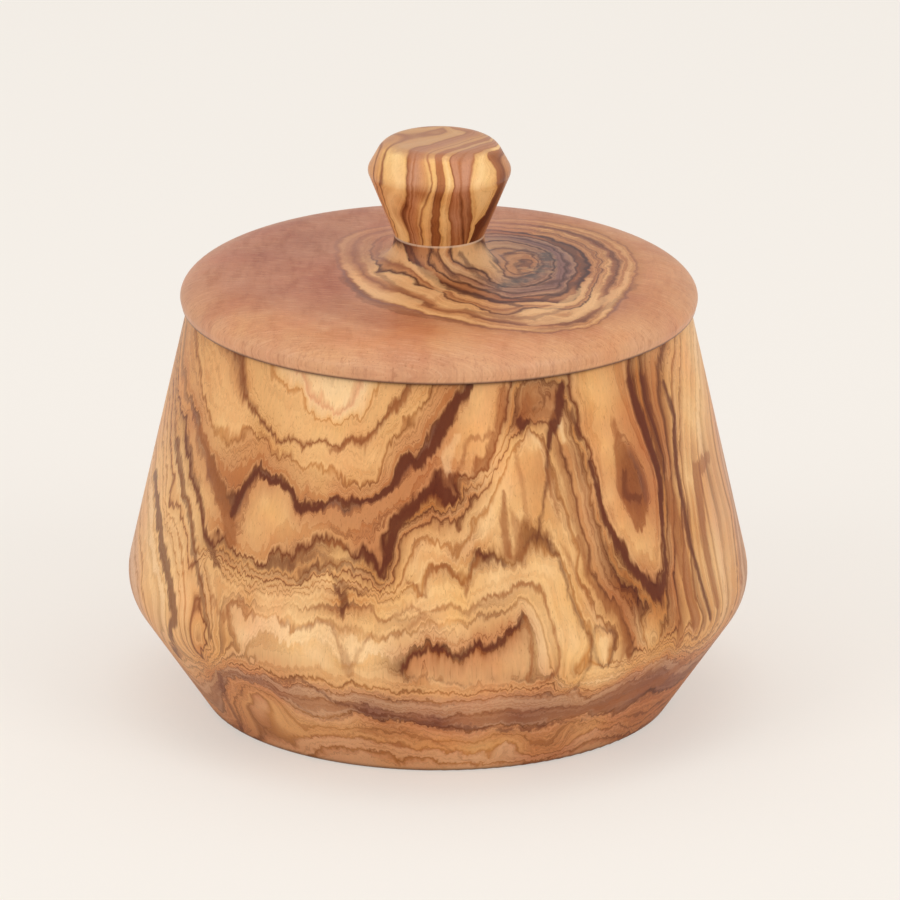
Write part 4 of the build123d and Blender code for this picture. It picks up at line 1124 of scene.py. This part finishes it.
def knobRadius(height):
    # Outside radius of the knob over its foot
    lower = knob["neckRadius"] + (knob["beltRadius"] - knob["neckRadius"]) * height / knob["beltHeight"]
    rise = (height - knob["beltHeight"]) / (knob["height"] - knob["beltHeight"])
    return min(lower, knob["beltRadius"] - (knob["beltRadius"] - knob["topRadius"]) * rise)


def knobFront(x, height):
    return (x, -sqrt(max(knobRadius(height) ** 2 - x ** 2, 0)), knob["foot"] + height)


def knobBack(x, height):
    x, y, z = knobFront(x, height)
    return (x, -y, z)


def knobTop(x, y):
    return (x, y, knob["foot"] + knob["height"])


def knobMaterial():
    material, shader, place = woodMaterial("olive wood of the knob")
    moved = waved(shader, place, knob)
    rings = linePoints(knob["rings"], knobFront) + linePoints(knob["rings"], knobBack)
    rings += linePoints(knob["top"], knobTop)
    weights = spotPoints(knob["weights"], knobFront) + spotPoints(knob["weights"], knobBack)
    colour, _ = figure(shader, moved, knob, rings, weights)

    fibres = shader.scaled(place, knob["fibres"])
    upright = shader.add("ShaderNodeSeparateXYZ", None, place, output="Z")
    # The end grain on top is darker
    ragged = shader.noise(shader.scaled(place, knob["endScale"]), 3.0, 0.6) - 0.5
    end, top = knob["endGrain"], knob["foot"] + knob["height"]
    level = upright + ragged * end["ragged"]
    dull = shader.spread(level, top - end["from"], top - end["to"], 0.0, end["cover"])
    colour = shader.mix(dull * end["colour"], colour, linear(knob["colours"]["endGrain"]))
    colour = shader.tint(dull * end["tint"], colour, knob["endTint"])
    oiledWood(shader, place, colour, fibres, upright * knob["turningMarks"], knob["finish"])
    return material


def finish(node, material, slot):
    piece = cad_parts[node]
    if not piece.material_slots:
        piece.data.materials.append(material)
    for entry in piece.material_slots:
        entry.material = material


finish("jar_body", jarMaterial(), "body_wood")
finish("lid", lidMaterial(), "lid_wood")
finish("knob", knobMaterial(), "knob_wood")
print("wood on the pieces")

studio = {
    "floorRadius": 3.0,
    "floorColour": (0.93, 0.88, 0.82, 1),
    "backColour": (0.921, 0.871, 0.807, 1),
    "glow": 0.5,
    "worldStrength": 0.68,
    "lampTarget": (0, 0, 0.05),
    # Name, place, size and power of each lamp
    "lamps": [
        ("left softbox", (-0.95, -0.75, 0.85), (0.7, 0.9), 3.6),
        ("right softbox", (0.95, -0.75, 0.85), (0.7, 0.9), 3.6),
        ("top softbox", (0, 0.1, 1.3), (1.1, 1.1), 3.4),
    ],
}


def floorMaterial():
    material = bpy.data.materials.new("pale floor")
    material.use_nodes = True
    shader = Shader(material.node_tree)
    lit = shader.add("ShaderNodeBsdfDiffuse", None, Color=studio["floorColour"])
    glow = shader.add("ShaderNodeEmission", None, Color=studio["backColour"], Strength=1)
    cameraRay = shader.add("ShaderNodeLightPath", output="Is Camera Ray")
    mixed = shader.add("ShaderNodeMixShader", None, cameraRay * studio["glow"], lit, glow)
    shader.add("ShaderNodeOutputMaterial", None, mixed)
    return material


bpy.ops.mesh.primitive_circle_add(vertices=96, radius=studio["floorRadius"], fill_type="NGON")
floor = bpy.context.object
floor.name = "floor"
floor.data.materials.append(floorMaterial())

# The camera sees the plain background, and everything else is lit by white
world = bpy.data.worlds.new("studio")
bpy.context.scene.world = world
world.use_nodes = True
sky = Shader(world.node_tree)
lights = sky.add("ShaderNodeBackground", None, (1, 1, 1, 1), studio["worldStrength"])
seen = sky.add("ShaderNodeBackground", None, studio["backColour"], 1)
cameraRay = sky.add("ShaderNodeLightPath", output="Is Camera Ray")
sky.add("ShaderNodeOutputWorld", None, sky.add("ShaderNodeMixShader", None, cameraRay, lights, seen))

for name, place, size, power in studio["lamps"]:
    data = bpy.data.lights.new(name, "AREA")
    data.shape = "RECTANGLE"
    data.size, data.size_y = size
    data.energy = power
    lamp = bpy.data.objects.new(name, data)
    lamp.location = place
    lamp.rotation_euler = (Vector(studio["lampTarget"]) - Vector(place)).to_track_quat("-Z", "Y").to_euler()
    bpy.context.scene.collection.objects.link(lamp)
print("floor and lamps ready")

view = {
    "elevation": 18.93,
    "distance": 1.8,
    "target": (0, 0, 0.045),
    "lens": 405.3,
    "shift": (0.0128, 0.0016),
    "roll": 0.2,
}
cameraData = bpy.data.cameras.new("camera")
cameraData.sensor_width = 36
cameraData.lens = view["lens"]
cameraData.shift_x, cameraData.shift_y = view["shift"]
camera = bpy.data.objects.new("camera", cameraData)
tilt = radians(view["elevation"])
towards = Vector((0, -cos(tilt), sin(tilt)))
camera.location = Vector(view["target"]) + towards * view["distance"]
turn = (-towards).to_track_quat("-Z", "Y").to_matrix() @ Matrix.Rotation(radians(view["roll"]), 3, "Z")
camera.rotation_euler = turn.to_euler()
bpy.context.scene.collection.objects.link(camera)
bpy.context.scene.camera = camera
bpy.context.scene.view_settings.view_transform = "Standard"
print("camera ready")
